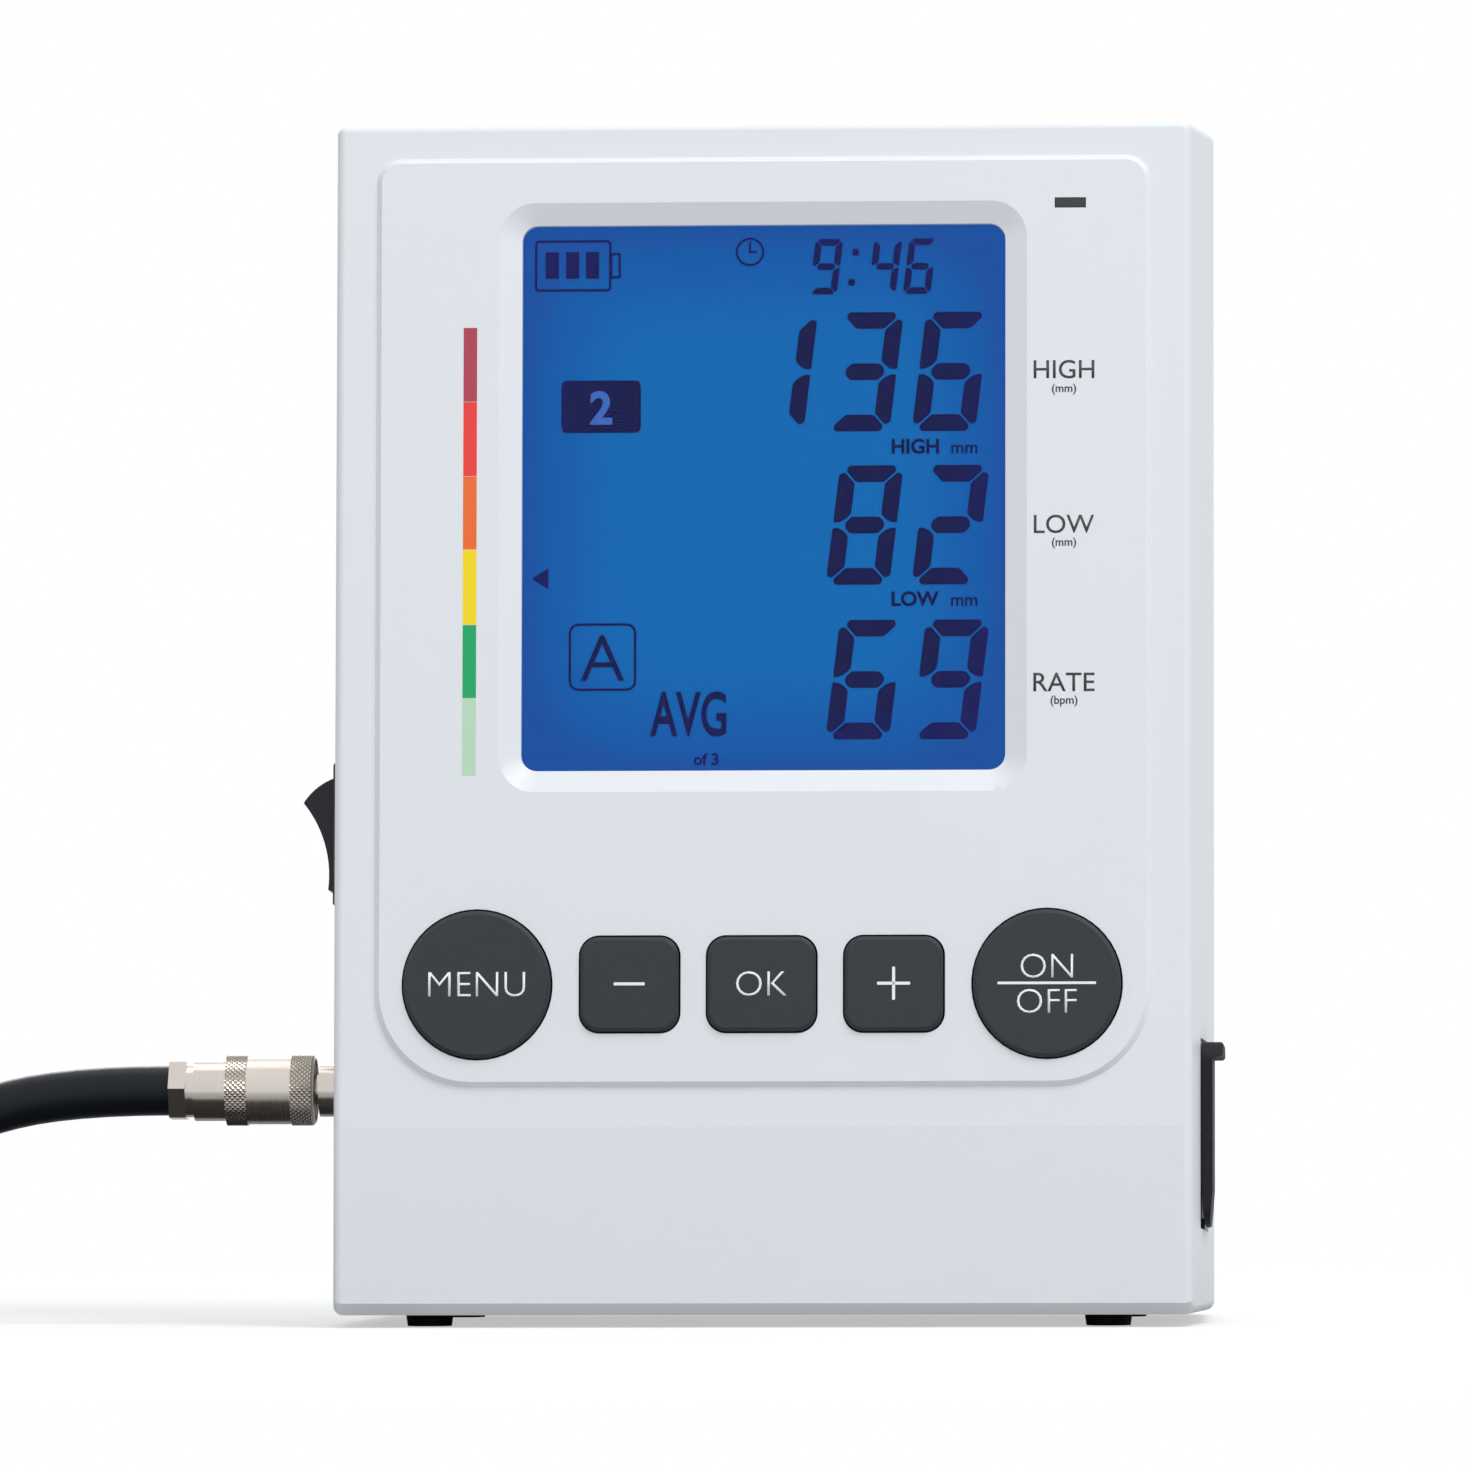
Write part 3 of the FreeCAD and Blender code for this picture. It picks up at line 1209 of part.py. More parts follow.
def pump_motor():
    """Round motor against the pump head."""
    end = PUMP_HEAD_RIGHT + MOTOR_LENGTH
    can = motor_rod(MOTOR_DIAMETER, (PUMP_HEAD_RIGHT, end))
    boss = motor_rod(MOTOR_BOSS_DIAMETER, (end - MOTOR_BOSS_LENGTH, end + MOTOR_BOSS_LENGTH))
    return on_face(can.fuse(boss).removeSplitter())


def pump_saddle():
    """Rubber saddle between the motor and the back wall."""
    middle = PUMP_HEAD_RIGHT + MOTOR_LENGTH / 2
    block = box(
        about(middle, SADDLE_LENGTH),
        (PUMP_DEPTH + SADDLE_SET_BACK, BASE_DEPTH),
        about(PUMP_AXIS_RISE, SADDLE_WIDTH),
    )
    seat = motor_rod(MOTOR_DIAMETER + 2 * SADDLE_FIT, about(middle, SADDLE_LENGTH + OVERRUN))
    return on_face(block.cut(seat)).common(half_block(REAR_DEPTHS, WALL))


# Rocker switch


def rocker_rod(diameter, width):
    """Cylinder on the rocker's axis."""
    front, back = about(ROCKER_DEPTH, width)
    return rod(diameter, V(ROCKER_AXIS_X, front, ROCKER_RISE), V(ROCKER_AXIS_X, back, ROCKER_RISE))


def power_rocker():
    """Rocker drum with a dished face, tilted with its lower end pressed in."""
    tip = math.radians(ROCKER_TIP_DEGREES)
    tip_rise = ROCKER_DRUM_RADIUS * math.sin(tip)
    tip_reach = ROCKER_DRUM_RADIUS * math.cos(tip)
    dish_radius = (tip_rise * tip_rise + ROCKER_DISH * ROCKER_DISH) / (2 * ROCKER_DISH)
    dish_x = ROCKER_AXIS_X - tip_reach + ROCKER_DISH - dish_radius
    front, back = about(ROCKER_DEPTH, ROCKER_WIDTH + OVERRUN)
    dish = rod(2 * dish_radius, V(dish_x, front, ROCKER_RISE), V(dish_x, back, ROCKER_RISE))
    heel = box(
        (ROCKER_AXIS_X + ROCKER_HEEL, ROCKER_AXIS_X + ROCKER_HEEL + ROCKER_DRUM_RADIUS),
        (front, back),
        about(ROCKER_RISE, 2 * ROCKER_DRUM_RADIUS + OVERRUN),
    )
    drum = rocker_rod(2 * ROCKER_DRUM_RADIUS, ROCKER_WIDTH).cut([dish, heel])
    pins = rocker_rod(2 * ROCKER_PIN_RADIUS, SWITCH_WIDTH)
    rocker = drum.fuse(pins).removeSplitter()
    rocker.rotate(V(ROCKER_AXIS_X, ROCKER_DEPTH, ROCKER_RISE), Y_AXIS, -ROCKER_TILT_DEGREES)
    return on_face(rocker)


def rocker_switch():
    """Switch body snapped into the side wall: bezel, case open to the rocker and two terminals."""
    bezel = box(
        (-ROCKER_PAD - BEZEL_THICKNESS, -ROCKER_PAD),
        about(ROCKER_DEPTH, BEZEL_WIDTH),
        about(ROCKER_RISE, BEZEL_LENGTH),
    )
    rim = [edge for edge in bezel.Edges if edge.BoundBox.XMax < -ROCKER_PAD - BEZEL_THICKNESS / 2]
    bezel = bezel.makeChamfer(BEZEL_THICKNESS / 2, rim)
    case = box((-ROCKER_PAD, SWITCH_END), about(ROCKER_DEPTH, SWITCH_WIDTH), about(ROCKER_RISE, SWITCH_LENGTH))
    hollow = box(
        (-ROCKER_PAD - OVERRUN, ROCKER_AXIS_X + SWITCH_FLOOR),
        about(ROCKER_DEPTH, ROCKER_WIDTH + 2 * ROCKER_GAP),
        about(ROCKER_RISE, 2 * (ROCKER_DRUM_RADIUS + ROCKER_GAP)),
    )
    pin_holes = rocker_rod(2 * (ROCKER_PIN_RADIUS + ROCKER_PIN_CLEARANCE), SWITCH_WIDTH + OVERRUN)
    body = bezel.fuse(case).cut([hollow, pin_holes])
    terminals = []
    for way in (-1, 1):
        terminals.append(
            box(
                (SWITCH_END - SWITCH_WALL, SWITCH_END + TERMINAL_LENGTH),
                about(ROCKER_DEPTH, TERMINAL_WIDTH),
                about(ROCKER_RISE + way * TERMINAL_SPACING / 2, TERMINAL_THICKNESS),
            )
        )
    return on_face(body.fuse(terminals).removeSplitter())


# Power socket and flap


def power_socket():
    """Barrel socket on the board's edge, behind the hole in the side wall."""
    rear = SOCKET_FRONT - SOCKET_LENGTH
    body = box(
        (rear, SOCKET_FRONT), (BOARD_BACK, BOARD_BACK + SOCKET_HEIGHT), about(SOCKET_RISE, SOCKET_WIDTH)
    )
    axis = V(0, SOCKET_DEPTH, SOCKET_RISE)
    floor = SOCKET_FRONT - SOCKET_BORE_DEPTH
    bore = rod(SOCKET_BORE_DIAMETER, axis + X_AXIS * floor, axis + X_AXIS * (SOCKET_FRONT + OVERRUN))
    pin = rod(
        SOCKET_PIN_DIAMETER,
        axis + X_AXIS * (floor - SOCKET_PIN_SET_BACK),
        axis + X_AXIS * (SOCKET_FRONT - SOCKET_PIN_SET_BACK),
    )
    return on_face(body.cut(bore).fuse(pin).removeSplitter())


def socket_flap():
    """Rubber flap over the socket: tapered foot on its hinge line, pull tab at the top, plug inside."""
    inner = FLAP_PAD + FLAP_LIFT
    outer = inner + FLAP_THICKNESS
    foot = -FLAP_FOOT_DROP
    top = foot + FLAP_LENGTH
    full = foot + FLAP_TAPER_LENGTH
    tab_end = outer + FLAP_TAB_REACH
    tab_foot = top - FLAP_TAB_HEIGHT
    front, back = about(SOCKET_DEPTH, FLAP_WIDTH)
    profile = [
        V(inner + FLAP_TIP_INSET, front, foot),
        V(outer - FLAP_TIP_INSET, front, foot),
        V(outer, front, full),
        V(outer, front, tab_foot),
        V(tab_end, front, tab_foot),
        V(tab_end, front, top),
        V(inner, front, top),
        V(inner, front, full),
    ]
    bend = FLAP_TIP_THICKNESS / 2
    rounds = [bend, bend, FLAP_TAPER_LENGTH, 0, FLAP_TAB_ROUND, FLAP_TAB_ROUND, 0, FLAP_TAPER_LENGTH]
    slab = Part.Face(outline(profile, rounds)).extrude(V(0, back - front, 0))
    corners = [
        V(inner - OVERRUN, front, foot),
        V(inner - OVERRUN, back, foot),
        V(inner - OVERRUN, back, top),
        V(inner - OVERRUN, front, top),
    ]
    face = Part.Face(outline(corners, [FLAP_ROUND] * len(corners)))
    flap = slab.common(face.extrude(V(FLAP_THICKNESS + 3 * OVERRUN, 0, 0)))
    axis = V(0, SOCKET_DEPTH, SOCKET_RISE)
    plug = rod(
        SOCKET_HOLE_DIAMETER - 2 * FLAP_PLUG_GAP,
        axis + X_AXIS * (inner - FLAP_PLUG_LENGTH),
        axis + X_AXIS * (inner + FLAP_THICKNESS / 2),
    )
    return on_face(flap.fuse(plug).removeSplitter())


def flap_anchor():
    """Rubber anchor of the flap: a neck through the wall up to the hinge line and a head inside."""
    neck = box(
        (half_width(0) - WALL - ANCHOR_HEAD_THICKNESS, FLAP_PAD + FLAP_LIFT + FLAP_TIP_INSET - ANCHOR_GAP),
        about(SOCKET_DEPTH, ANCHOR_WIDTH),
        about(FLAP_HINGE_Z, ANCHOR_HEIGHT),
    )
    lap = 2 * ANCHOR_HEAD_LAP
    head = box(
        (half_width(0) - WALL - ANCHOR_HEAD_THICKNESS, half_width(0)),
        about(SOCKET_DEPTH, ANCHOR_WIDTH + lap),
        about(FLAP_HINGE_Z, ANCHOR_HEIGHT + lap),
    )
    head = on_face(head).common(half_block(FRONT_DEPTHS, WALL))
    return on_face(neck).fuse(head).removeSplitter()


# Rubber feet


def rubber_feet():
    """Four round feet in pockets of the underside, tapered below it."""
    radius = FOOT_DIAMETER / 2
    feet = []
    for place in foot_places():
        shoulder = place + Z_AXIS * UNDERSIDE_Z
        stub = rod(FOOT_DIAMETER, shoulder, shoulder + Z_AXIS * FOOT_SINK)
        feet.append(stub.fuse(Part.makeCone(radius - FOOT_TAPER, radius, UNDERSIDE_Z, place, Z_AXIS)))
    return Part.makeCompound(feet)


# Coupling, hose, coil and cuff connector

COIL_LOW_Z = TIE_GAP + TIE_THICKNESS + HOSE_DIAMETER / 2
NECK_END = -NIPPLE_PAD - NIPPLE_NECK_LENGTH
SLEEVE_FRONT = NECK_END - COUPLING_GAP
SLEEVE_REAR = SLEEVE_FRONT - SLEEVE_LENGTH
COUPLING_FRONT = SLEEVE_FRONT - COUPLING_BODY_SET_BACK
COUPLING_REAR = SLEEVE_REAR - SLEEVE_TRAVEL - COUPLING_BODY_TAIL
HOSE_NUT_FRONT = COUPLING_REAR - COUPLING_NECK_LENGTH
HOSE_START_X = HOSE_NUT_FRONT - HOSE_NUT_LENGTH
SPIGOT_TIP = NECK_END - NIPPLE_SPIGOT_LENGTH
SEAL_REAR = SPIGOT_TIP - COUPLING_SEAL_THICKNESS


def coupling_body():
    """Turned body of the quick coupling, bored for the outlet's spigot."""
    bore = NIPPLE_SPIGOT_DIAMETER / 2 + COUPLING_BORE_CLEARANCE
    profile = [
        (COUPLING_FRONT, bore),
        (COUPLING_FRONT, COUPLING_BODY_DIAMETER / 2),
        (COUPLING_REAR, COUPLING_BODY_DIAMETER / 2),
        (COUPLING_REAR, COUPLING_NECK_DIAMETER / 2),
        (HOSE_NUT_FRONT, COUPLING_NECK_DIAMETER / 2),
        (HOSE_NUT_FRONT, NIPPLE_BORE / 2),
        (SEAL_REAR, NIPPLE_BORE / 2),
        (SEAL_REAR, bore),
    ]
    return on_face(turned(profile, AIR_DEPTH, AIR_RISE))


def coupling_seal():
    """Flat ring between the spigot's end and the foot of the coupling's bore."""
    radius = NIPPLE_SPIGOT_DIAMETER / 2
    hole = COUPLING_SEAL_BORE / 2
    profile = [(SPIGOT_TIP, hole), (SPIGOT_TIP, radius), (SEAL_REAR, radius), (SEAL_REAR, hole)]
    return on_face(turned(profile, AIR_DEPTH, AIR_RISE))


def coupling_sleeve():
    """Sliding sleeve with a raised grip band at each end."""
    bore = COUPLING_BODY_DIAMETER / 2 + SLEEVE_CLEARANCE
    plain = SLEEVE_DIAMETER / 2
    grip = SLEEVE_KNURL_DIAMETER / 2
    front_grip = SLEEVE_FRONT - SLEEVE_CHAMFER
    profile = [
        (SLEEVE_FRONT, bore),
        (SLEEVE_FRONT, grip - SLEEVE_CHAMFER),
        (front_grip, grip),
        (front_grip - SLEEVE_FRONT_KNURL, grip),
        (front_grip - SLEEVE_FRONT_KNURL, plain),
        (SLEEVE_REAR + SLEEVE_REAR_KNURL, plain),
        (SLEEVE_REAR + SLEEVE_REAR_KNURL, grip),
        (SLEEVE_REAR, grip),
        (SLEEVE_REAR, bore),
    ]
    return on_face(turned(profile, AIR_DEPTH, AIR_RISE))


def hose_nut():
    """Hexagonal nut at the hose end of the coupling."""
    bar = hexagon_bar(HOSE_NUT_ACROSS_FLATS, (HOSE_START_X, HOSE_NUT_FRONT), AIR_DEPTH, AIR_RISE)
    hole = rod(
        NIPPLE_BORE,
        AIR_AXIS + X_AXIS * (HOSE_START_X - OVERRUN),
        AIR_AXIS + X_AXIS * (HOSE_NUT_FRONT + OVERRUN),
    )
    return on_face(bar.cut(hole))


def hose_section(start, way):
    """Faceted section of the hose, of the area of its round section."""
    side = way.cross(Z_AXIS).normalize()
    rise = side.cross(way)
    sector = 2 * math.pi / HOSE_SIDES
    radius = HOSE_DIAMETER / 2 * math.sqrt(sector / math.sin(sector))
    corners = []
    for step in range(HOSE_SIDES):
        angle = sector * (step + 0.5)
        corners.append(start + side * (radius * math.cos(angle)) + rise * (radius * math.sin(angle)))
    return Part.makePolygon(corners + corners[:1])


def swept_hose(name, edges, start, way):
    """Hose along edges, with its volume compared with its section times its length."""
    path = Part.Wire(edges)
    section = hose_section(start, way)
    solid = path.makePipeShell([section], True, False)
    expected = Part.Face(section).Area * path.Length
    print(name, "length", round(path.Length, 1), "volume share", round(solid.Volume / expected, 4))
    return solid


def hose_route():
    """Route of the open stretch, starting on the coupling."""
    start = FACE.multVec(V(HOSE_START_X, AIR_DEPTH, AIR_RISE))
    straight = V(HOSE_ROUTE[1][0], start.y, start.z)
    return [start, straight] + [V(x, y, z) for x, y, z in HOSE_ROUTE[2:]]


def air_hose():
    """Open stretch of the hose: straight runs joined by the largest tangent arcs."""
    points = hose_route()
    edges = []
    reached = points[0]
    for before, corner, after in zip(points, points[1:], points[2:]):
        shorter = min((corner - before).Length, (after - corner).Length)
        back = (before - corner).normalize()
        onward = (after - corner).normalize()
        half_turn = (math.pi - back.getAngle(onward)) / 2
        reach = 0.45 * shorter
        radius = reach / math.tan(half_turn)
        middle = (back + onward).normalize() * (radius / math.cos(half_turn) - radius)
        start = corner + back * reach
        end = corner + onward * reach
        edges.append(Part.LineSegment(reached, start).toShape())
        edges.append(Part.Arc(start, corner + middle, end).toShape())
        reached = end
        print("air_hose bend radius", round(radius, 1))
    edges.append(Part.LineSegment(reached, points[-1]).toShape())
    return swept_hose("air_hose", edges, points[0], (points[1] - points[0]).normalize())


def coil_stations():
    """Points and directions each quarter turn: spiral in above, drop in a half turn, spiral out below."""
    last = V(*HOSE_ROUTE[-1])
    begin = last - X_AXIS * HOSE_DIAMETER
    middle = V(begin.x, begin.y + COIL_OUTER_RADIUS, 0)
    low = COIL_LOW_Z
    high = last.z
    steps_in = round(4 * COIL_TURNS_IN)
    steps = 2 * steps_in + 2
    inner_radius = COIL_OUTER_RADIUS - COIL_PITCH * COIL_TURNS_IN
    spread = COIL_PITCH / (2 * math.pi)
    stations = []
    for step in range(steps + 1):
        angle = step * math.pi / 2
        outward = V(-math.sin(angle), -math.cos(angle), 0)
        onward = V(-math.cos(angle), math.sin(angle), 0)
        if step <= steps_in:
            radius = COIL_OUTER_RADIUS - COIL_PITCH * step / 4
            slope = V(0, 0, 0) if step == 0 else outward * -spread
            height = high
        elif step == steps_in + 1:
            radius = inner_radius - COIL_PITCH / 4
            slope = Z_AXIS * (-1.5 * (high - low) / math.pi)
            height = (high + low) / 2
        else:
            radius = inner_radius + COIL_PITCH * (step - steps_in - 2) / 4
            slope = V(0, 0, 0) if step == steps else outward * spread
            height = low
        point = middle + outward * radius + Z_AXIS * height
        stations.append((point, (onward * radius + slope).normalize()))
    return last, stations


def arc_from(start, way, end):
    """Arc that leaves a start in a direction and ends at a point."""
    chord = end - start
    along = V(chord).normalize()
    across = way - along * way.dot(along)
    half_sweep = math.atan2(across.Length, way.dot(along))
    rise = chord.Length / 2 * math.tan(half_sweep / 2)
    return Part.Arc(start, start + chord * 0.5 + across.normalize() * rise, end)


def biarc(start, start_way, end, end_way):
    """Two tangent arcs between two points with given directions."""
    span = end - start
    ways = start_way + end_way
    bend = 2 * (1 - start_way.dot(end_way))
    along = span.dot(ways)
    reach = (math.sqrt(along * along + bend * span.dot(span)) - along) / bend
    joint = (start + start_way * reach + end - end_way * reach) * 0.5
    first = arc_from(start, start_way, joint)
    second = arc_from(end, end_way * -1, joint)
    return [first, Part.Arc(joint, second.value((second.FirstParameter + second.LastParameter) / 2), end)]


GAP_SAMPLES = 24


def air_hose_coil():
    """Rest of the hose, put away as a flat coil in two layers with a short straight at each end."""
    last, stations = coil_stations()
    arcs = []
    for (start, start_way), (end, end_way) in zip(stations, stations[1:]):
        arcs += biarc(start, start_way, end, end_way)
    end_point, end_way = stations[-1]
    tail = end_point + end_way * HOSE_DIAMETER
    edges = [Part.LineSegment(last, stations[0][0]).toShape()]
    edges += [arc.toShape() for arc in arcs]
    edges.append(Part.LineSegment(end_point, tail).toShape())
    points = []
    for arc in arcs:
        share = (arc.LastParameter - arc.FirstParameter) / GAP_SAMPLES
        points += [arc.value(arc.FirstParameter + share * step) for step in range(GAP_SAMPLES)]
    apart = 6 * GAP_SAMPLES
    least = min(
        (points[first] - points[second]).Length
        for first in range(len(points))
        for second in range(first + apart, len(points))
    )
    print("air_hose_coil least gap to itself", round(least - HOSE_DIAMETER, 2))
    radii = [edge.Curve.Radius for edge in edges[1:-1]]
    print("air_hose_coil least radius", round(min(radii), 1))
    return swept_hose("air_hose_coil", edges, last, X_AXIS * -1)


def coil_tie():
    """Strap round the four turns at the far side of the coil."""
    last, stations = coil_stations()
    outer_turn, inner_turn = stations[2][0], stations[6][0]
    x_start, x_end = about(outer_turn.x, TIE_WIDTH)
    loops = []
    for growth in (TIE_GAP + TIE_THICKNESS, TIE_GAP):
        reach = HOSE_DIAMETER / 2 + growth
        inside, outside = inner_turn.y - reach, outer_turn.y + reach
        foot, top = COIL_LOW_Z - reach, outer_turn.z + reach
        places = [(inside, foot), (outside, foot), (outside, top), (inside, top)]
        corners = [V(x_start, y, z) for y, z in places]
        face = Part.Face(outline(corners, [TIE_ROUND - TIE_GAP + growth] * 4))
        loops.append(face.extrude(V(x_end - x_start, 0, 0)))
    return loops[0].cut(loops[1])


def cuff_connector():
    """Connector on the hose's far end: grooved collar and the nose that a cuff's tube takes."""
    last, stations = coil_stations()
    end_point, end_way = stations[-1]
    start = end_point.x - HOSE_DIAMETER
    shoulder = start - CUFF_COLLAR_LENGTH
    tip = shoulder - CUFF_NOSE_LENGTH
    collar = CUFF_COLLAR_DIAMETER / 2
    groove_start = start - CUFF_COLLAR_LENGTH / 2
    groove_end = groove_start - CUFF_GROOVE_LENGTH
    bore = NIPPLE_BORE / 2
    profile = [
        (start, bore),
        (start, collar),
        (groove_start, collar),
        (groove_start, collar - CUFF_GROOVE_DEPTH),
        (groove_end, collar - CUFF_GROOVE_DEPTH),
        (groove_end, collar),
        (shoulder, collar),
        (shoulder, CUFF_NOSE_DIAMETER / 2),
        (tip, CUFF_NOSE_DIAMETER / 2),
        (tip, bore),
    ]
    return turned(profile, end_point.y, end_point.z)


NODES = {
    "front_shell": front_shell,
    "back_shell": back_shell,
    "battery_door": battery_door,
    "battery_cells": battery_cells,
    "cell_contacts": cell_contacts,
    "display_window": display_window,
    "lcd_panel": lcd_panel,
    "backlight": backlight,
    "display_tray": display_tray,
    "status_pipe": status_pipe,
    "status_led": status_led,
    "tact_switches": tact_switches,
    "main_board": main_board,
    "board_screws": board_screws,
    "housing_screws": housing_screws,
    "buzzer": buzzer,
    "air_nipple": air_nipple,
    "nipple_nut": nipple_nut,
    "air_manifold": air_manifold,
    "air_tubes": air_tubes,
    "pressure_sensor": pressure_sensor,
    "release_valve": release_valve,
    "pump_head": pump_head,
    "pump_motor": pump_motor,
    "pump_saddle": pump_saddle,
    "power_rocker": power_rocker,
    "rocker_switch": rocker_switch,
    "power_socket": power_socket,
    "socket_flap": socket_flap,
    "flap_anchor": flap_anchor,
    "rubber_feet": rubber_feet,
    "coupling_body": coupling_body,
    "coupling_seal": coupling_seal,
    "coupling_sleeve": coupling_sleeve,
    "hose_nut": hose_nut,
    "air_hose": air_hose,
    "air_hose_coil": air_hose_coil,
    "coil_tie": coil_tie,
    "cuff_connector": cuff_connector,
}

os.makedirs("parts", exist_ok=True)
for node, make in NODES.items():
    make().exportStep("parts/" + node + ".step")
for node in KEYS:
    key_cap(node).exportStep("parts/" + node + ".step")
    plunger(node).exportStep("parts/" + node + "_plunger.step")
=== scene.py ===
import math

import bpy
from mathutils import Matrix, Vector


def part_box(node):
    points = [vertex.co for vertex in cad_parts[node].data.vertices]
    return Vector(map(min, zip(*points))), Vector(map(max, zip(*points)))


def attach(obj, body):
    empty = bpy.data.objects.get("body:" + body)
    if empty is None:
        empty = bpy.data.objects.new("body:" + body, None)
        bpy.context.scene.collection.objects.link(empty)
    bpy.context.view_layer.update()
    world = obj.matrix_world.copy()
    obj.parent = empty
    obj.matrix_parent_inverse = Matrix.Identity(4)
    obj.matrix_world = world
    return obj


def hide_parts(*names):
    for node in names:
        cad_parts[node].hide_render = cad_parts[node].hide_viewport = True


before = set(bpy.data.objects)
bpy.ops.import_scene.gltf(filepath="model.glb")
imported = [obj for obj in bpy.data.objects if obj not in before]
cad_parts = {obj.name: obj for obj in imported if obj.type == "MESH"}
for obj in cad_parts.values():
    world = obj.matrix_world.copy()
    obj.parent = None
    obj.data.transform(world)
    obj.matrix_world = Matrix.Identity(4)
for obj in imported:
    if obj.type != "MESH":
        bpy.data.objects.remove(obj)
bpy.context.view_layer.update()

# Front shell
# The pale half of the casing that carries the display, the keys and the fittings of both sides.
# One moulding in a satin off-white plastic, with a fine spark-eroded grain all over its outside.


def screen_colour(red, green, blue):
    """Linear colour of a finish given as screen values from 0 to 255."""
    shares = [value / 255 for value in (red, green, blue)]
    linear = [share / 12.92 if share <= 0.04045 else ((share + 0.055) / 1.055) ** 2.4 for share in shares]
    return linear + [1.0]


def moulded(name, colour, roughness, grain_size, grain_depth, drift=0.04, shine=0.5):
    """Moulded finish: a colour that drifts a little over the piece, and a fine grain in gloss and surface."""
    gloss_spread = 0.06
    material = bpy.data.materials.new(name)
    material.use_nodes = True
    nodes, links = material.node_tree.nodes, material.node_tree.links
    shader = nodes["Principled BSDF"]
    shader.inputs["Specular IOR Level"].default_value = shine
    place = nodes.new("ShaderNodeTexCoord")
    cloud = nodes.new("ShaderNodeTexNoise")
    cloud.inputs["Scale"].default_value = 14
    cloud.inputs["Detail"].default_value = 3
    tint = nodes.new("ShaderNodeMix")
    tint.data_type = "RGBA"
    tint.inputs["A"].default_value = [channel * (1 - drift) for channel in colour[:3]] + [1]
    tint.inputs["B"].default_value = [min(channel * (1 + drift), 1) for channel in colour[:3]] + [1]
    grain = nodes.new("ShaderNodeTexNoise")
    grain.inputs["Scale"].default_value = 1 / grain_size
    grain.inputs["Detail"].default_value = 2
    gloss = nodes.new("ShaderNodeMapRange")
    gloss.inputs["To Min"].default_value = roughness - gloss_spread
    gloss.inputs["To Max"].default_value = roughness + gloss_spread
    bump = nodes.new("ShaderNodeBump")
    bump.inputs["Strength"].default_value = 0.35
    bump.inputs["Distance"].default_value = grain_depth
    links.new(place.outputs["Object"], cloud.inputs["Vector"])
    links.new(place.outputs["Object"], grain.inputs["Vector"])
    links.new(cloud.outputs["Fac"], tint.inputs["Factor"])
    links.new(tint.outputs["Result"], shader.inputs["Base Color"])
    links.new(grain.outputs["Fac"], gloss.inputs["Value"])
    links.new(gloss.outputs["Result"], shader.inputs["Roughness"])
    links.new(grain.outputs["Fac"], bump.inputs["Height"])
    links.new(bump.outputs["Normal"], shader.inputs["Normal"])
    return material


def dress(material, *names):
    """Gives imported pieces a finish, with their curved faces shaded smooth."""
    same_point = 0.000002
    sharp_angle = math.radians(24)
    for name in names:
        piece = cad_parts[name]
        piece.data.materials.clear()
        piece.data.materials.append(material)
        piece.data.shade_smooth()
        weld = piece.modifiers.new("weld", "WELD")
        weld.merge_threshold = same_point
        split = piece.modifiers.new("edges", "EDGE_SPLIT")
        split.split_angle = sharp_angle
        flats = piece.modifiers.new("flats", "WEIGHTED_NORMAL")
        flats.keep_sharp = True


casing_colour = screen_colour(226, 230, 235)
casing = moulded(
    "casing_off_white", casing_colour, roughness=0.42, grain_size=0.0005, grain_depth=0.00002, drift=0.012
)
dress(casing, "front_shell")
crease_front = -0.048
crease_height = 0.032
crease_reach = 0.00005
shell_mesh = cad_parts["front_shell"].data
for edge in shell_mesh.edges:
    ends = [shell_mesh.vertices[index].co for index in edge.vertices]
    offsets = [abs(end.y - crease_front) + abs(end.z - crease_height) for end in ends]
    edge.use_edge_sharp = max(offsets) < crease_reach

# Display
# A blue backlit glass in a tray, behind a clear pane that is fixed into the casing from inside.
# The lit figures are dark bars printed in the glass; words and signs on it are plain stand-ins.

lean = math.radians(4.0)
pane_low, pane_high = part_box("display_window")
pane_middle = (pane_low + pane_high) / 2
on_face = Matrix.Translation(pane_middle) @ Matrix.Rotation(-lean, 4, "X")
opening_width = 0.0775
opening_height = 0.0877
glass_front = 0.00095
panel_front = -0.00405
key_front = -0.00495
print_thickness = 0.00004
axis_share = 0.9


def spot(across, down):
    """Place on the leaning face, right and up from the display's middle, of a pixel of the photograph."""
    display_left, display_right, display_top, display_foot = 522, 1006, 226, 770
    right = (across - (display_left + display_right) / 2) * opening_width / (display_right - display_left)
    up = ((display_top + display_foot) / 2 - down) * opening_height / (display_foot - display_top)
    return right, up


def pixels(count):
    """Length on the face of a count of the photograph's pixels."""
    return spot(count, 0)[0] - spot(0, 0)[0]


clear_pane = bpy.data.materials.new("clear_pane")
clear_pane.use_nodes = True
nodes, links = clear_pane.node_tree.nodes, clear_pane.node_tree.links
shader = nodes["Principled BSDF"]
shader.inputs["Base Color"].default_value = (0.98, 0.99, 1.0, 1.0)
shader.inputs["Transmission Weight"].default_value = 1.0
shader.inputs["IOR"].default_value = 1.15
smear_place = nodes.new("ShaderNodeTexCoord")
smear = nodes.new("ShaderNodeTexNoise")
smear.inputs["Scale"].default_value = 60
smear_range = nodes.new("ShaderNodeMapRange")
smear_range.inputs["To Min"].default_value = 0.0
smear_range.inputs["To Max"].default_value = 0.03
links.new(smear_place.outputs["Object"], smear.inputs["Vector"])
links.new(smear.outputs["Fac"], smear_range.inputs["Value"])
links.new(smear_range.outputs["Result"], shader.inputs["Roughness"])
dress(clear_pane, "display_window")


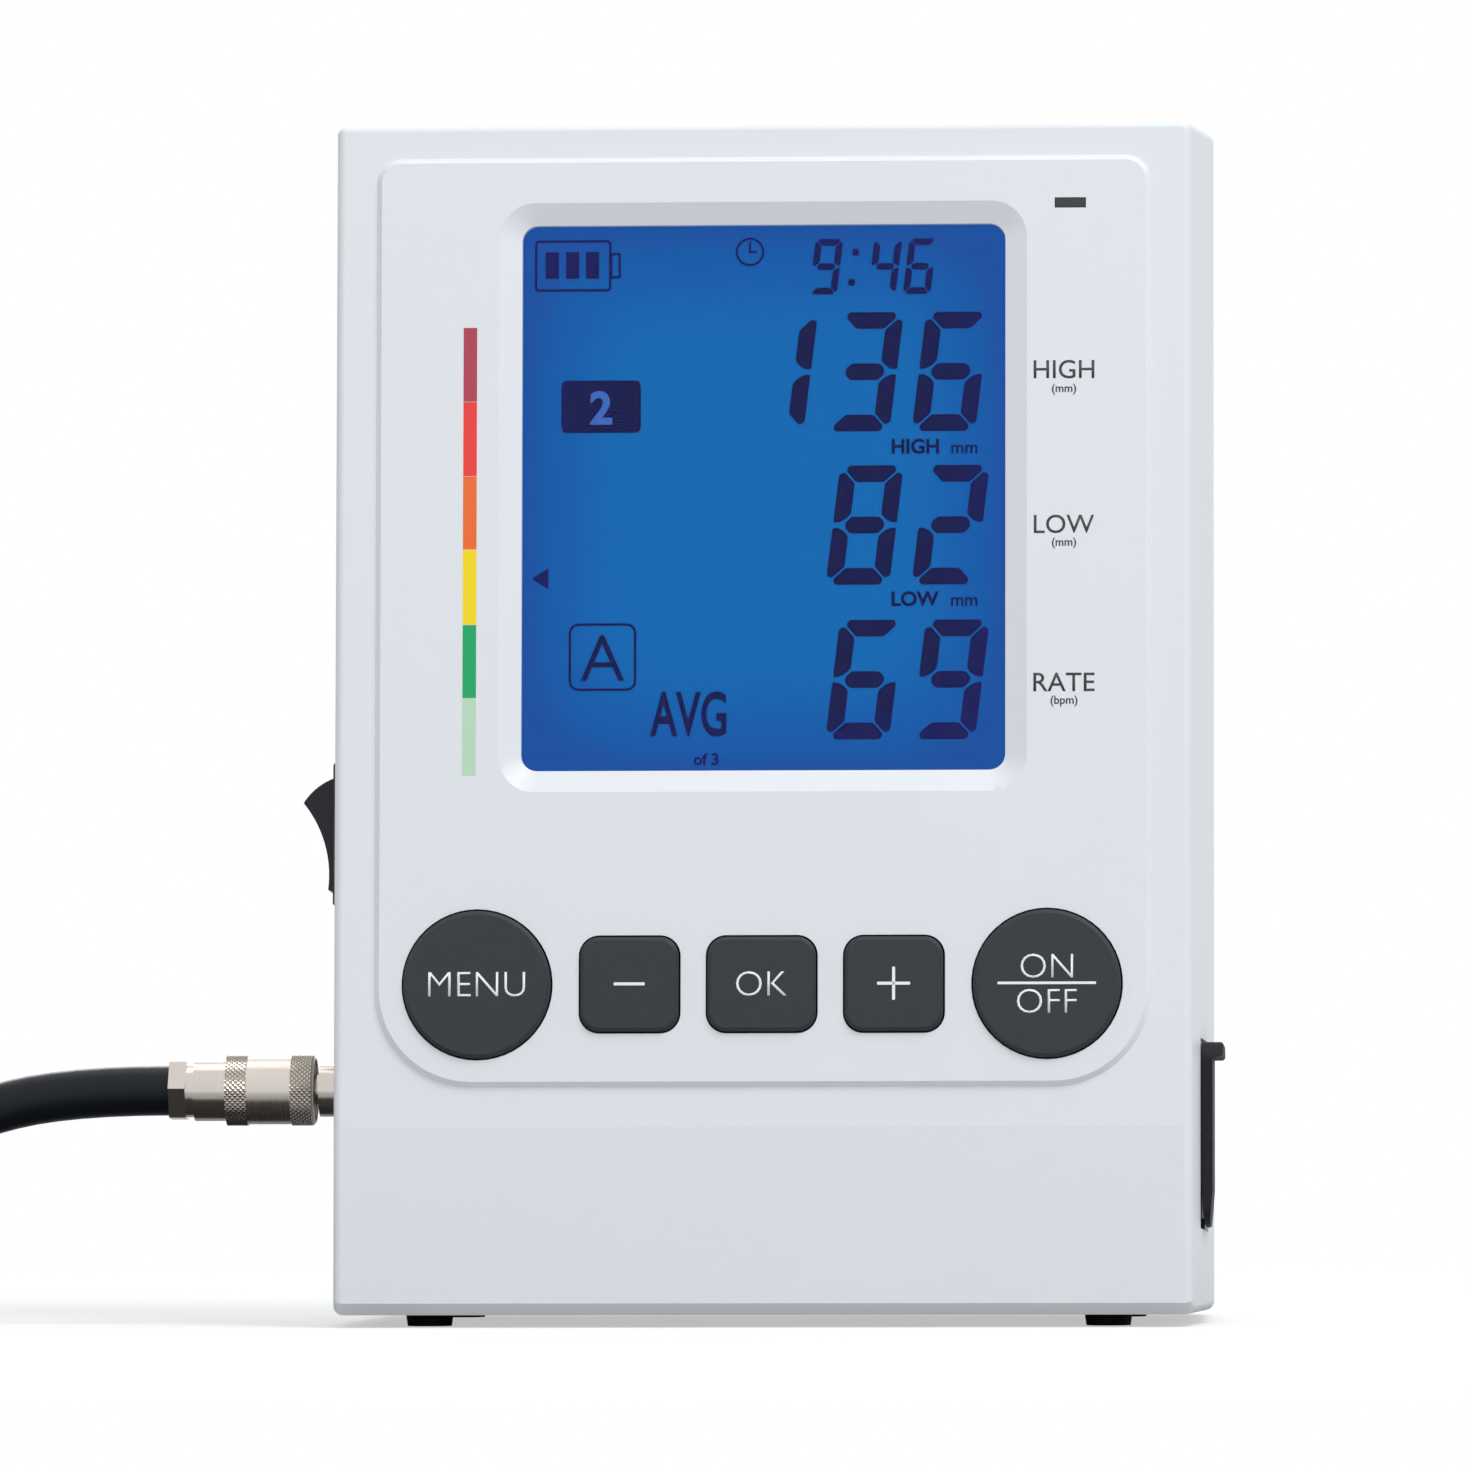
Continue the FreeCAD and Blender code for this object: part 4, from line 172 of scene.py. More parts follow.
def lit_glass(name, stops):
    """Light coming through the display: colours from its middle out to its edges."""
    squareness = 5
    material = bpy.data.materials.new(name)
    material.use_nodes = True
    nodes, links = material.node_tree.nodes, material.node_tree.links
    shader = nodes["Principled BSDF"]
    shader.inputs["Base Color"].default_value = (0.0, 0.0, 0.0, 1.0)
    shader.inputs["Specular IOR Level"].default_value = 0.0
    shader.inputs["Emission Strength"].default_value = 1.0
    place = nodes.new("ShaderNodeTexCoord")
    square = nodes.new("ShaderNodeMapping")
    square.vector_type = "TEXTURE"
    square.inputs["Location"].default_value = pane_middle
    square.inputs["Rotation"].default_value = (-lean, 0, 0)
    square.inputs["Scale"].default_value = (opening_width / 2, opening_height / 2, opening_height / 2)
    parts = nodes.new("ShaderNodeSeparateXYZ")
    links.new(place.outputs["Object"], square.inputs["Vector"])
    links.new(square.outputs["Vector"], parts.inputs["Vector"])
    total = nodes.new("ShaderNodeMath")
    total.operation = "ADD"
    for index, axis in enumerate("XZ"):
        power = nodes.new("ShaderNodeMath")
        power.operation = "POWER"
        size = nodes.new("ShaderNodeMath")
        size.operation = "ABSOLUTE"
        power.inputs[1].default_value = squareness
        links.new(parts.outputs[axis], size.inputs[0])
        links.new(size.outputs["Value"], power.inputs[0])
        links.new(power.outputs["Value"], total.inputs[index])
    ramp = nodes.new("ShaderNodeValToRGB")
    ramp.color_ramp.interpolation = "EASE"
    for index, (at, colour) in enumerate(stops):
        stop = ramp.color_ramp.elements[index] if index < 2 else ramp.color_ramp.elements.new(at)
        stop.position = at
        stop.color = colour
    links.new(total.outputs["Value"], ramp.inputs["Fac"])
    links.new(ramp.outputs["Color"], shader.inputs["Emission Color"])
    return material


lcd_blue = lit_glass(
    "lcd_blue",
    [
        (0.0, screen_colour(8, 103, 178)),
        (1.0, screen_colour(20, 79, 160)),
        (0.45, screen_colour(10, 90, 170)),
    ],
)
dress(lcd_blue, "lcd_panel")
lcd_ink = lit_glass("lcd_ink", [(0.0, screen_colour(20, 24, 74)), (1.0, screen_colour(24, 26, 92))])
lcd_clear = lit_glass("lcd_clear", [(0.0, screen_colour(62, 104, 186)), (1.0, screen_colour(58, 92, 176))])
light_guide = moulded(
    "light_guide", screen_colour(238, 240, 240), roughness=0.3, grain_size=0.002, grain_depth=0.00001
)
tray_grey = moulded(
    "tray_grey", screen_colour(196, 198, 200), roughness=0.5, grain_size=0.0005, grain_depth=0.00002
)
dress(light_guide, "backlight", "status_led")
dress(tray_grey, "display_tray")


def set_on_face(piece, name, right, up, depth, body, material):
    """Stands a flat piece, made facing up, on the leaning face at a place and depth."""
    piece.name = name
    stand = on_face @ Matrix.Translation((right, depth, up)) @ Matrix.Rotation(math.pi / 2, 4, "X")
    piece.data.transform(stand @ piece.matrix_world)
    piece.matrix_world = Matrix.Identity(4)
    piece.data.materials.clear()
    piece.data.materials.append(material)
    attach(piece, body)
    return piece


def block(size, middle):
    """Block of a size about a middle."""
    bpy.ops.object.select_all(action="DESELECT")
    bpy.ops.mesh.primitive_cube_add(size=1, location=middle)
    piece = bpy.context.object
    piece.scale = size
    bpy.ops.object.transform_apply()
    return piece


def select_edges_along(piece, axis):
    """Opens a block for editing with the edges that run along one axis selected."""
    bpy.ops.object.mode_set(mode="EDIT")
    bpy.ops.mesh.select_mode(type="EDGE")
    bpy.ops.mesh.select_all(action="DESELECT")
    bpy.ops.object.mode_set(mode="OBJECT")
    for edge in piece.data.edges:
        start, end = [piece.data.vertices[index].co for index in edge.vertices]
        edge.select = abs((end - start)[axis]) > axis_share * (end - start).length
    bpy.ops.object.mode_set(mode="EDIT")


def round_corners(piece, corner):
    """Rounds the upright edges of a flat block."""
    select_edges_along(piece, 2)
    bpy.ops.mesh.bevel(offset=corner, segments=6)
    bpy.ops.object.mode_set(mode="OBJECT")


def thin_plate(width, height, corner, middle=(0, 0)):
    """Thin printed plate facing up, with its corners rounded."""
    piece = block((width, height, print_thickness), (*middle, print_thickness / 2))
    if corner > 0:
        round_corners(piece, corner)
    return piece


def joined(pieces):
    """Several meshes as one."""
    bpy.ops.object.select_all(action="DESELECT")
    for piece in pieces:
        piece.select_set(True)
    bpy.context.view_layer.objects.active = pieces[0]
    bpy.ops.object.join()
    bpy.ops.object.transform_apply()
    return bpy.context.object


def lettering(words, height, weight=0.0):
    """Words as a thin mesh facing up about the origin, with capitals of a height."""
    bpy.ops.object.select_all(action="DESELECT")
    bpy.ops.object.text_add()
    text = bpy.context.object
    text.data.body = words
    text.data.offset = weight
    text.data.resolution_u = 4
    bpy.ops.object.convert(target="MESH")
    piece = bpy.context.object
    corners = [vertex.co for vertex in piece.data.vertices]
    low = Vector(min(corner[axis] for corner in corners) for axis in range(2))
    high = Vector(max(corner[axis] for corner in corners) for axis in range(2))
    middle = (low + high) / 2
    scale = height / (high.y - low.y)
    piece.data.transform(Matrix.Scale(scale, 4) @ Matrix.Translation((-middle.x, -middle.y, 0)))
    bpy.ops.object.mode_set(mode="EDIT")
    bpy.ops.mesh.select_all(action="SELECT")
    bpy.ops.mesh.extrude_region_move(TRANSFORM_OT_translate={"value": (0, 0, print_thickness)})
    bpy.ops.mesh.select_all(action="SELECT")
    bpy.ops.mesh.normals_make_consistent(inside=False)
    bpy.ops.object.mode_set(mode="OBJECT")
    return piece


bar_gap = 0.07
bar_corner = 0.12
mitre_nose = 0.47
shoulder_gap = 1 / 12


def figure_bar(length, stroke, left_end, right_end):
    """One lit bar along X, its outer side up: an end is mitred, pointed, or cut at its inner side only."""
    bar = block((length, stroke, print_thickness), (0, 0, print_thickness / 2))
    bpy.ops.object.mode_set(mode="EDIT")
    bpy.ops.mesh.subdivide(number_cuts=2)
    bpy.ops.object.mode_set(mode="OBJECT")
    for vertex in bar.data.vertices:
        x, y = vertex.co.xy
        insets = {
            "mitre": stroke / 2 - y if y < stroke / 3 else stroke * mitre_nose,
            "point": abs(y),
            "shoulder": max(-y, 0) + stroke * shoulder_gap,
        }
        if x > length / 2 - stroke / 10:
            vertex.co.x -= insets[right_end]
        elif x < stroke / 10 - length / 2:
            vertex.co.x += insets[left_end]
    round_corners(bar, stroke * bar_corner)
    return bar


figure_bars = {
    "0": "abcdef", "1": "bc", "2": "abged", "3": "abgcd", "4": "fgbc",
    "5": "afgcd", "6": "afgedc", "7": "abc", "8": "abcdefg", "9": "abcdfg",
}
figure_slant = math.tan(math.radians(7))


def lit_figure(digit, left, foot, width, height, stroke):
    """Seven-bar figure as loose bars, its lower left corner at a place."""
    gap = stroke * bar_gap
    across = width - 2 * gap
    upright = height / 2 - 2 * gap
    places = {
        "a": (width / 2, height - stroke / 2, 0, across, "mitre", "mitre"),
        "b": (width - stroke / 2, height * 0.75, -90, upright, "mitre", "shoulder"),
        "c": (width - stroke / 2, height * 0.25, -90, upright, "shoulder", "mitre"),
        "d": (width / 2, stroke / 2, 180, across, "mitre", "mitre"),
        "e": (stroke / 2, height * 0.25, 90, upright, "mitre", "shoulder"),
        "f": (stroke / 2, height * 0.75, 90, upright, "shoulder", "mitre"),
        "g": (width / 2, height / 2, 0, across - stroke, "point", "point"),
    }
    bars = []
    for letter in figure_bars[digit]:
        x, y, turn, length, left_end, right_end = places[letter]
        bar = figure_bar(length, stroke, left_end, right_end)
        turned = Matrix.Translation((x, y, 0)) @ Matrix.Rotation(math.radians(turn), 4, "Z")
        slanted = Matrix.Identity(4)
        slanted[0][1] = figure_slant
        bar.data.transform(Matrix.Translation((left, foot, 0)) @ slanted @ turned)
        bars.append(bar)
    return bars


large_rows = [("136", 431), ("82", 584), ("69", 738)]
large_width, large_height, large_stroke, large_pitch, large_right = 64, 120, 17, 86, 911
figures = []
for digits, foot_row in large_rows:
    for place, digit in enumerate(reversed(digits)):
        left, foot = spot(large_right - place * large_pitch, foot_row)
        sizes = [pixels(count) for count in (large_width, large_height, large_stroke)]
        figures += lit_figure(digit, left, foot, *sizes)
clock_columns = {808: "9", 867: "4", 902: "6"}
clock_width, clock_height, clock_stroke, clock_foot = 28, 56, 7, 294
for column, digit in clock_columns.items():
    left, foot = spot(column, clock_foot)
    sizes = [pixels(count) for count in (clock_width, clock_height, clock_stroke)]
    figures += lit_figure(digit, left, foot, *sizes)
filled_signs = [
    (7, 7, 2, 855, 252), (7, 7, 2, 851, 282),  # colon of the clock
    (80, 53, 6, 600, 405),  # badge
    (13.5, 27, 0, 550.5, 263.5), (13.5, 27, 0, 571, 263.5), (13.5, 27, 0, 591, 263.5),  # charge
]
for width, height, corner, across, down in filled_signs:
    figures.append(thin_plate(pixels(width), pixels(height), pixels(corner), spot(across, down)))
lcd_figures = joined(figures)
figure_depth = glass_front - 2 * print_thickness
set_on_face(lcd_figures, "lcd_figures", 0, 0, figure_depth, "housing", lcd_ink)


def line_frame(width, height, corner, stroke, middle):
    """Outline of a rounded plate, drawn with a stroke."""
    frame_plate = thin_plate(width, height, corner, middle)
    bpy.ops.object.mode_set(mode="EDIT")
    bpy.ops.mesh.select_mode(type="FACE")
    bpy.ops.mesh.select_all(action="DESELECT")
    bpy.ops.object.mode_set(mode="OBJECT")
    for face in frame_plate.data.polygons:
        face.select = abs(face.normal.z) > axis_share
    bpy.ops.object.mode_set(mode="EDIT")
    bpy.ops.mesh.inset(thickness=stroke)
    bpy.ops.mesh.delete(type="FACE")
    bpy.ops.mesh.select_mode(type="EDGE")
    bpy.ops.mesh.select_all(action="DESELECT")
    bpy.ops.mesh.select_non_manifold()
    bpy.ops.mesh.bridge_edge_loops()
    bpy.ops.object.mode_set(mode="OBJECT")
    return frame_plate


outlined_signs = [
    (77, 52, 4, 2.6, 571.5, 264), (11, 26, 2, 2.6, 614, 264),  # battery and its tip
    (68, 68, 10, 2.6, 602, 655),  # memory
    (29, 29, 14.4, 2.4, 749, 251),  # clock
]
signs = []
for width, height, corner, stroke, across, down in outlined_signs:
    sizes = [pixels(count) for count in (width, height, corner, stroke)]
    signs.append(line_frame(*sizes, spot(across, down)))
clock_hands = [(2.2, 11, 749, 246), (8, 2.2, 752, 251)]
for width, height, across, down in clock_hands:
    signs.append(thin_plate(pixels(width), pixels(height), 0, spot(across, down)))
lcd_signs = joined(signs)
set_on_face(lcd_signs, "lcd_signs", 0, 0, figure_depth, "housing", lcd_ink)
pointer_radius = 12.5
pointer_squeeze = 0.9
word_depth = glass_front - print_thickness
bpy.ops.object.select_all(action="DESELECT")
bpy.ops.mesh.primitive_cylinder_add(vertices=3, radius=pixels(pointer_radius), depth=print_thickness)
pointer = bpy.context.object
pointer.data.transform(Matrix.Scale(pointer_squeeze, 4, (1, 0, 0)) @ Matrix.Rotation(math.pi / 2, 4, "Z"))
set_on_face(pointer, "lcd_pointer", *spot(542, 576.5), word_depth, "housing", lcd_ink)

lcd_words = [
    ("high", "HIGH", 915, 446, 15.5, 0.034), ("high_unit", "mm", 964, 449, 9, 0.018),
    ("low", "LOW", 915, 598, 15.5, 0.034), ("low_unit", "mm", 964, 601, 9, 0.018),
    ("mean", "AVG", 688, 712, 46, 0.02), ("mean_unit", "of 3", 706, 757, 12.5, 0.03),
    ("memory", "A", 602, 656, 46, -0.005),
]
narrow_word = "mean"
narrow_share = 0.62
for name, words, across, down, height, weight in lcd_words:
    word = lettering(words, pixels(height), weight)
    if name == narrow_word:
        word.data.transform(Matrix.Scale(narrow_share, 4, (1, 0, 0)))
    set_on_face(word, "lcd_word_" + name, *spot(across, down), word_depth, "housing", lcd_ink)
badge = lettering("2", pixels(34), weight=0.03)
badge_depth = glass_front - 3 * print_thickness
set_on_face(badge, "lcd_badge_figure", *spot(600, 406), badge_depth, "housing", lcd_clear)

# Printing on the panel
# A scale of six colours beside the display and a short caption beside each row of figures.
# Screen-printed straight onto the casing, so it stands no prouder than a coat of ink.


def ink(name, colour):
    """Screen-printing ink: a dense colour with slightly uneven cover."""
    return moulded(name, colour, roughness=0.5, grain_size=0.0003, grain_depth=0.000005, drift=0.05)


scale_column = 471
scale_width = 13.5
scale_edges = [328.5, 402.6, 477, 550, 625, 698, 775]
scale_colours = {
    "dark_red": (172, 60, 79), "red": (232, 59, 56), "orange": (236, 106, 39),
    "yellow": (246, 217, 4), "green": (0, 163, 98), "pale_green": (185, 219, 192),
}
for (top, foot), (name, colour) in zip(zip(scale_edges, scale_edges[1:]), scale_colours.items()):
    strip = thin_plate(pixels(scale_width), pixels(foot - top), corner=0)
    place = spot(scale_column, (top + foot) / 2)
    strip_ink = ink("scale_" + name, screen_colour(*colour))
    set_on_face(strip, "scale_" + name, *place, panel_front, "housing", strip_ink)
print_grey = ink("print_grey", screen_colour(46, 50, 55))
caption_column = 1065
captions = [
    ("high", "HIGH", 373, 18.5, 0.002), ("high_unit", "(mm)", 393, 11, 0.012),
    ("low", "LOW", 527, 18.5, 0.002), ("low_unit", "(mm)", 546, 11, 0.012),
    ("rate", "RATE", 684, 18.5, 0.002), ("rate_unit", "(bpm)", 703, 11, 0.012),
]
for name, words, down, height, weight in captions:
    word = lettering(words, pixels(height), weight)
    set_on_face(word, "caption_" + name, *spot(caption_column, down), panel_front, "housing", print_grey)

# Status light
# A smoked light pipe that shows as a short dash on the panel, over a small lamp on the board.
# Clear plastic with a dark tint, pushed into its slot from inside.
smoked = moulded(
    "smoked_pipe", screen_colour(44, 47, 52), roughness=0.25, grain_size=0.001, grain_depth=0.000005
)
dress(smoked, "status_pipe")

# Keys
# Five stiff caps in dark grey plastic, guided by their holes, each pressing a small board switch.
# Their legends are printed in white; the caps are moulded with a softened edge.
key_grey = moulded(
    "key_dark_grey", screen_colour(42, 48, 53),
    roughness=0.5, grain_size=0.0004, grain_depth=0.00001, drift=0.03, shine=0.35,
)
legend_white = ink("legend_white", screen_colour(240, 242, 244))
legend_weight = -0.016
line_corner = 0.8
switch_black = moulded(
    "switch_black", screen_colour(30, 31, 33), roughness=0.5, grain_size=0.0006, grain_depth=0.00001
)
key_names = ["mode_key", "minus_key", "set_key", "plus_key", "start_key"]
dress(key_grey, *key_names)
dress(switch_black, "tact_switches", *[name + "_plunger" for name in key_names])
legend_depth = key_front + print_thickness / 2


def print_on_key(piece, name, key, rise=0):
    """Prints a legend on the middle of a key, or a count of the photograph's pixels above it."""
    key_low, key_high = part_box(key)
    middle = on_face.inverted() @ ((key_low + key_high) / 2)
    set_on_face(piece, "legend_" + name, middle.x, middle.z + pixels(rise), legend_depth, key, legend_white)


key_words = [
    ("MENU", "mode_key", 0, 24.5), ("OK", "set_key", 0, 24.5),
    ("ON", "start_key", 17, 24), ("OFF", "start_key", -18, 24),
]
for words, key, rise, height in key_words:
    print_on_key(lettering(words, pixels(height), legend_weight), words.lower(), key, rise)
key_lines = [
    ("minus", "minus_key", 31, 3), ("plus_across", "plus_key", 33, 3),
    ("plus_upright", "plus_key", 3, 33), ("divider", "start_key", 98, 2.6),
]
for name, key, width, height in key_lines:
    print_on_key(thin_plate(pixels(width), pixels(height), pixels(line_corner)), name, key)

# Board, pump and air path
# What the casing hides: lacquered board with its parts, pump, valve, sensor and milky silicone tubes.
# Held by screws and a rubber saddle; only screw heads and, with the flap open, the socket show outside.
board_green = moulded(
    "board_green", screen_colour(22, 92, 52), roughness=0.35, grain_size=0.001, grain_depth=0.00001
)
tube_milky = moulded(
    "tube_milky", screen_colour(220, 222, 216), roughness=0.4, grain_size=0.001, grain_depth=0.00001
)
dress(board_green, "main_board")
dress(tube_milky, "air_tubes")
dress(tray_grey, "air_manifold")
dress(switch_black, "buzzer", "pressure_sensor", "pump_head", "power_socket")


def turned_metal(name, colour, roughness, line_size):
    """Bare metal with fine machining lines round the hose's axis."""
    line_run = 40
    dull_share = 0.93
    gloss_spread = 0.05
    material = bpy.data.materials.new(name)
    material.use_nodes = True
    nodes, links = material.node_tree.nodes, material.node_tree.links
    shader = nodes["Principled BSDF"]
    shader.inputs["Metallic"].default_value = 1.0
    place = nodes.new("ShaderNodeTexCoord")
    stretch = nodes.new("ShaderNodeMapping")
    stretch.inputs["Scale"].default_value = (1 / line_size, line_run, line_run)
    lines = nodes.new("ShaderNodeTexNoise")
    lines.inputs["Scale"].default_value = 1
    lines.inputs["Detail"].default_value = 3
    tint = nodes.new("ShaderNodeMix")
    tint.data_type = "RGBA"
    tint.inputs["A"].default_value = [channel * dull_share for channel in colour[:3]] + [1]
    tint.inputs["B"].default_value = colour
    gloss = nodes.new("ShaderNodeMapRange")
    gloss.inputs["To Min"].default_value = roughness - gloss_spread
    gloss.inputs["To Max"].default_value = roughness + gloss_spread
    bump = nodes.new("ShaderNodeBump")
    bump.inputs["Strength"].default_value = 0.06
    bump.inputs["Distance"].default_value = 0.00001
    links.new(place.outputs["Object"], stretch.inputs["Vector"])
    links.new(stretch.outputs["Vector"], lines.inputs["Vector"])
    links.new(lines.outputs["Fac"], tint.inputs["Factor"])
    links.new(tint.outputs["Result"], shader.inputs["Base Color"])
    links.new(lines.outputs["Fac"], gloss.inputs["Value"])
    links.new(gloss.outputs["Result"], shader.inputs["Roughness"])
    links.new(lines.outputs["Fac"], bump.inputs["Height"])
    links.new(bump.outputs["Normal"], shader.inputs["Normal"])
    return material


steel = turned_metal("steel_can", screen_colour(190, 190, 188), roughness=0.35, line_size=0.0006)
dress(steel, "board_screws", "housing_screws", "pump_motor", "release_valve")
rubber = moulded(
    "black_rubber", screen_colour(22, 23, 27),
    roughness=0.6, grain_size=0.0004, grain_depth=0.00002, drift=0.1, shine=0.25,
)
dress(rubber, "pump_saddle")

# Rocker switch
# A black power rocker in a snap-in switch on the left side, tilted with its upper end out.
# Nylon mouldings with a satin face; the rocker turns on pins in the switch body.
rocker_black = moulded(
    "rocker_black", screen_colour(28, 31, 37),
    roughness=0.38, grain_size=0.0005, grain_depth=0.00001, drift=0.06, shine=0.3,
)
dress(rocker_black, "power_rocker", "rocker_switch")

# Power socket flap
# A soft black rubber cover over the power socket on the right side, with a pull tab at its top.
# It bends at its foot and is held by an anchor through the wall.
dress(rubber, "socket_flap", "flap_anchor")

# Back shell and battery compartment
# The back half of the casing with its screw tunnels, and a hooked door over four round cells.
# Same plastic as the front; cells in a printed sleeve, pale at both ends, between plated contacts.
dress(casing, "back_shell", "battery_door")
back_lean = math.radians(10.35)
band_start = 0.0192
cells_low, cells_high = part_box("battery_cells")
cell_sleeve = moulded(
    "cell_sleeve", screen_colour(58, 64, 78), roughness=0.3, grain_size=0.002, grain_depth=0.00001
)
nodes, links = cell_sleeve.node_tree.nodes, cell_sleeve.node_tree.links
place = nodes.new("ShaderNodeTexCoord")
along_cell = nodes.new("ShaderNodeMapping")
along_cell.vector_type = "TEXTURE"
along_cell.inputs["Location"].default_value = (cells_low + cells_high) / 2
along_cell.inputs["Rotation"].default_value = (back_lean, 0, 0)
parts = nodes.new("ShaderNodeSeparateXYZ")
from_middle = nodes.new("ShaderNodeMath")
from_middle.operation = "ABSOLUTE"
in_band = nodes.new("ShaderNodeMath")
in_band.operation = "GREATER_THAN"
in_band.inputs[1].default_value = band_start
bands = nodes.new("ShaderNodeMix")
bands.data_type = "RGBA"
bands.inputs["B"].default_value = screen_colour(186, 188, 190)
sleeve_colour = nodes["Principled BSDF"].inputs["Base Color"]
links.new(sleeve_colour.links[0].from_socket, bands.inputs["A"])
links.new(place.outputs["Object"], along_cell.inputs["Vector"])
links.new(along_cell.outputs["Vector"], parts.inputs["Vector"])
links.new(parts.outputs["Z"], from_middle.inputs[0])
links.new(from_middle.outputs["Value"], in_band.inputs[0])
links.new(in_band.outputs["Value"], bands.inputs["Factor"])
links.new(bands.outputs["Result"], sleeve_colour)
dress(cell_sleeve, "battery_cells")

# Rubber feet
# Four black discs pressed into pockets of the underside.
# Soft matte rubber, so that the monitor doesn't slide when a key is pressed.
dress(rubber, "rubber_feet")

# Air outlet and quick coupling
# A nickel-plated brass fitting on the left side with a push-on coupling: body, sliding sleeve, hose nut.
# Turned parts; the sleeve has a knurled grip band at each end and slides back to let go.
nickel_colour = screen_colour(212, 204, 197)
nickel = turned_metal("nickel_plate", nickel_colour, roughness=0.2, line_size=0.0003)
dress(nickel, "air_nipple", "nipple_nut", "cell_contacts", "coupling_body", "hose_nut", "cuff_connector")
dress(rubber, "coupling_seal")
sleeve_low, sleeve_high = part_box("coupling_sleeve")
sleeve_axis = (sleeve_low + sleeve_high) / 2
grip_radius = (sleeve_high.z - sleeve_low.z) / 2
grip_rise = 0.00025
plain_radius = grip_radius - grip_rise
bore_radius = 0.00498
front_grip = 0.0038
rear_grip = 0.0034
edge_chamfer = 0.0005
knurl_count = 44
knurl_depth = 0.00013


def sleeve_ring(x, radius):
    """One ring of evenly spaced points of the sleeve, two for each knurl."""
    ring = []
    for step in range(2 * knurl_count):
        angle = math.pi * step / knurl_count
        ring.append((x, sleeve_axis.y + radius * math.cos(angle), sleeve_axis.z + radius * math.sin(angle)))
    return ring


def grip_rings(start, end):
    """Rings of a knurled band: ridges change places from ring to ring, so that they cross in diamonds."""
    count = max(round(abs(end - start) * knurl_count / (math.pi * grip_radius)), 2)
    return [(start + (end - start) * step / count, step % 2) for step in range(count + 1)]


front_grip_end = sleeve_high.x - front_grip
rear_grip_end = sleeve_low.x + rear_grip
profile = [(sleeve_high.x, bore_radius, None), (sleeve_high.x, grip_radius - edge_chamfer, None)]
profile += [(x, grip_radius, way) for x, way in grip_rings(sleeve_high.x - edge_chamfer, front_grip_end)]
profile += [(front_grip_end, plain_radius, None), (rear_grip_end, plain_radius, None)]
profile += [(x, grip_radius, way) for x, way in grip_rings(rear_grip_end, sleeve_low.x)]
profile += [(sleeve_low.x, bore_radius, None)]
# Tones of the knurl's painted colour: plain nickel, painted shade in the valleys, painted highlight on the
# ridges.
plain_tone, valley_shade_tone, ridge_highlight_tone = 0.0, 0.5, 1.0
points = []
tones = []
for x, radius, way in profile:
    ring = sleeve_ring(x, radius)
    low_ring = sleeve_ring(x, radius - knurl_depth)
    for step, (low, high) in enumerate(zip(low_ring, ring)):
        in_valley = way is not None and (step + way) % 2 == 1
        points.append(low if in_valley else high)
        tones.append(plain_tone if way is None else valley_shade_tone if in_valley else ridge_highlight_tone)
around = 2 * knurl_count
faces = []
for row in range(len(profile)):
    here = row * around
    following = (row + 1) % len(profile) * around
    for step in range(around):
        beside = (step + 1) % around
        faces.append([here + step, following + step, following + beside, here + beside])
sleeve_mesh = bpy.data.meshes.new("knurled_sleeve")
sleeve_mesh.from_pydata(points, [], faces)
sleeve_mesh.attributes.new("knurl", "FLOAT", "POINT").data.foreach_set("value", tones)
sleeve = bpy.data.objects.new("knurled_sleeve", sleeve_mesh)
bpy.context.scene.collection.objects.link(sleeve)
bpy.ops.object.select_all(action="DESELECT")
sleeve.select_set(True)
bpy.context.view_layer.objects.active = sleeve
bpy.ops.object.mode_set(mode="EDIT")
bpy.ops.mesh.select_all(action="SELECT")
bpy.ops.mesh.quads_convert_to_tris(quad_method="SHORTEST_DIAGONAL")
bpy.ops.mesh.normals_make_consistent(inside=False)
bpy.ops.object.mode_set(mode="OBJECT")
bpy.ops.object.shade_smooth_by_angle(angle=math.radians(12))
knurled_nickel = turned_metal("nickel_knurled", nickel_colour, roughness=0.26, line_size=0.0003)
nodes, links = knurled_nickel.node_tree.nodes, knurled_nickel.node_tree.links
knurl = nodes.new("ShaderNodeAttribute")
knurl.attribute_name = "knurl"
# Painted shade and highlight: the valleys get a darker colour as shade, the ridges a lighter one as
# highlight.
knurl_shade_and_highlight = nodes.new("ShaderNodeValToRGB")
knurl_shade_and_highlight.color_ramp.elements[0].color = nickel_colour
knurl_shade_and_highlight.color_ramp.elements[1].color = screen_colour(232, 224, 213)
knurl_shade_and_highlight.color_ramp.elements.new(valley_shade_tone).color = screen_colour(140, 131, 120)
links.new(knurl.outputs["Fac"], knurl_shade_and_highlight.inputs["Fac"])
links.new(knurl_shade_and_highlight.outputs["Color"], nodes["Principled BSDF"].inputs["Base Color"])
sleeve.data.materials.append(knurled_nickel)
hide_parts("coupling_sleeve")
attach(sleeve, "coupling_sleeve")

# Air hose
# Black rubber hose from the coupling, going down to the table and wound into a flat tied coil.
# Its route repeats the source's points; the rest of the length lies in two layers of turns.
hose_diameter = 0.008
hose_route = [
    (-0.09667, -0.02755, 0.03779),
    (-0.1135, -0.02755, 0.03779),
    (-0.1310, -0.02950, 0.03340),
    (-0.1470, -0.03380, 0.02620),
    (-0.1620, -0.03980, 0.01830),
    (-0.1780, -0.04270, 0.01390),
    (-0.1925, -0.04270, 0.01390),
]
coil_start = Vector((-0.2005, -0.0427, 0.0139))
coil_radius = 0.0517
coil_pitch = 0.0088
coil_low = 0.0051
turns_in = 1.75
turns_down = 0.5
turn_points = 20
coil_middle = coil_start + Vector((0, coil_radius, 0))
inner_radius = coil_radius - coil_pitch * turns_in
hull_share = math.cos(math.pi / turn_points)
hose_points = [Vector(point) for point in hose_route] + [coil_start]
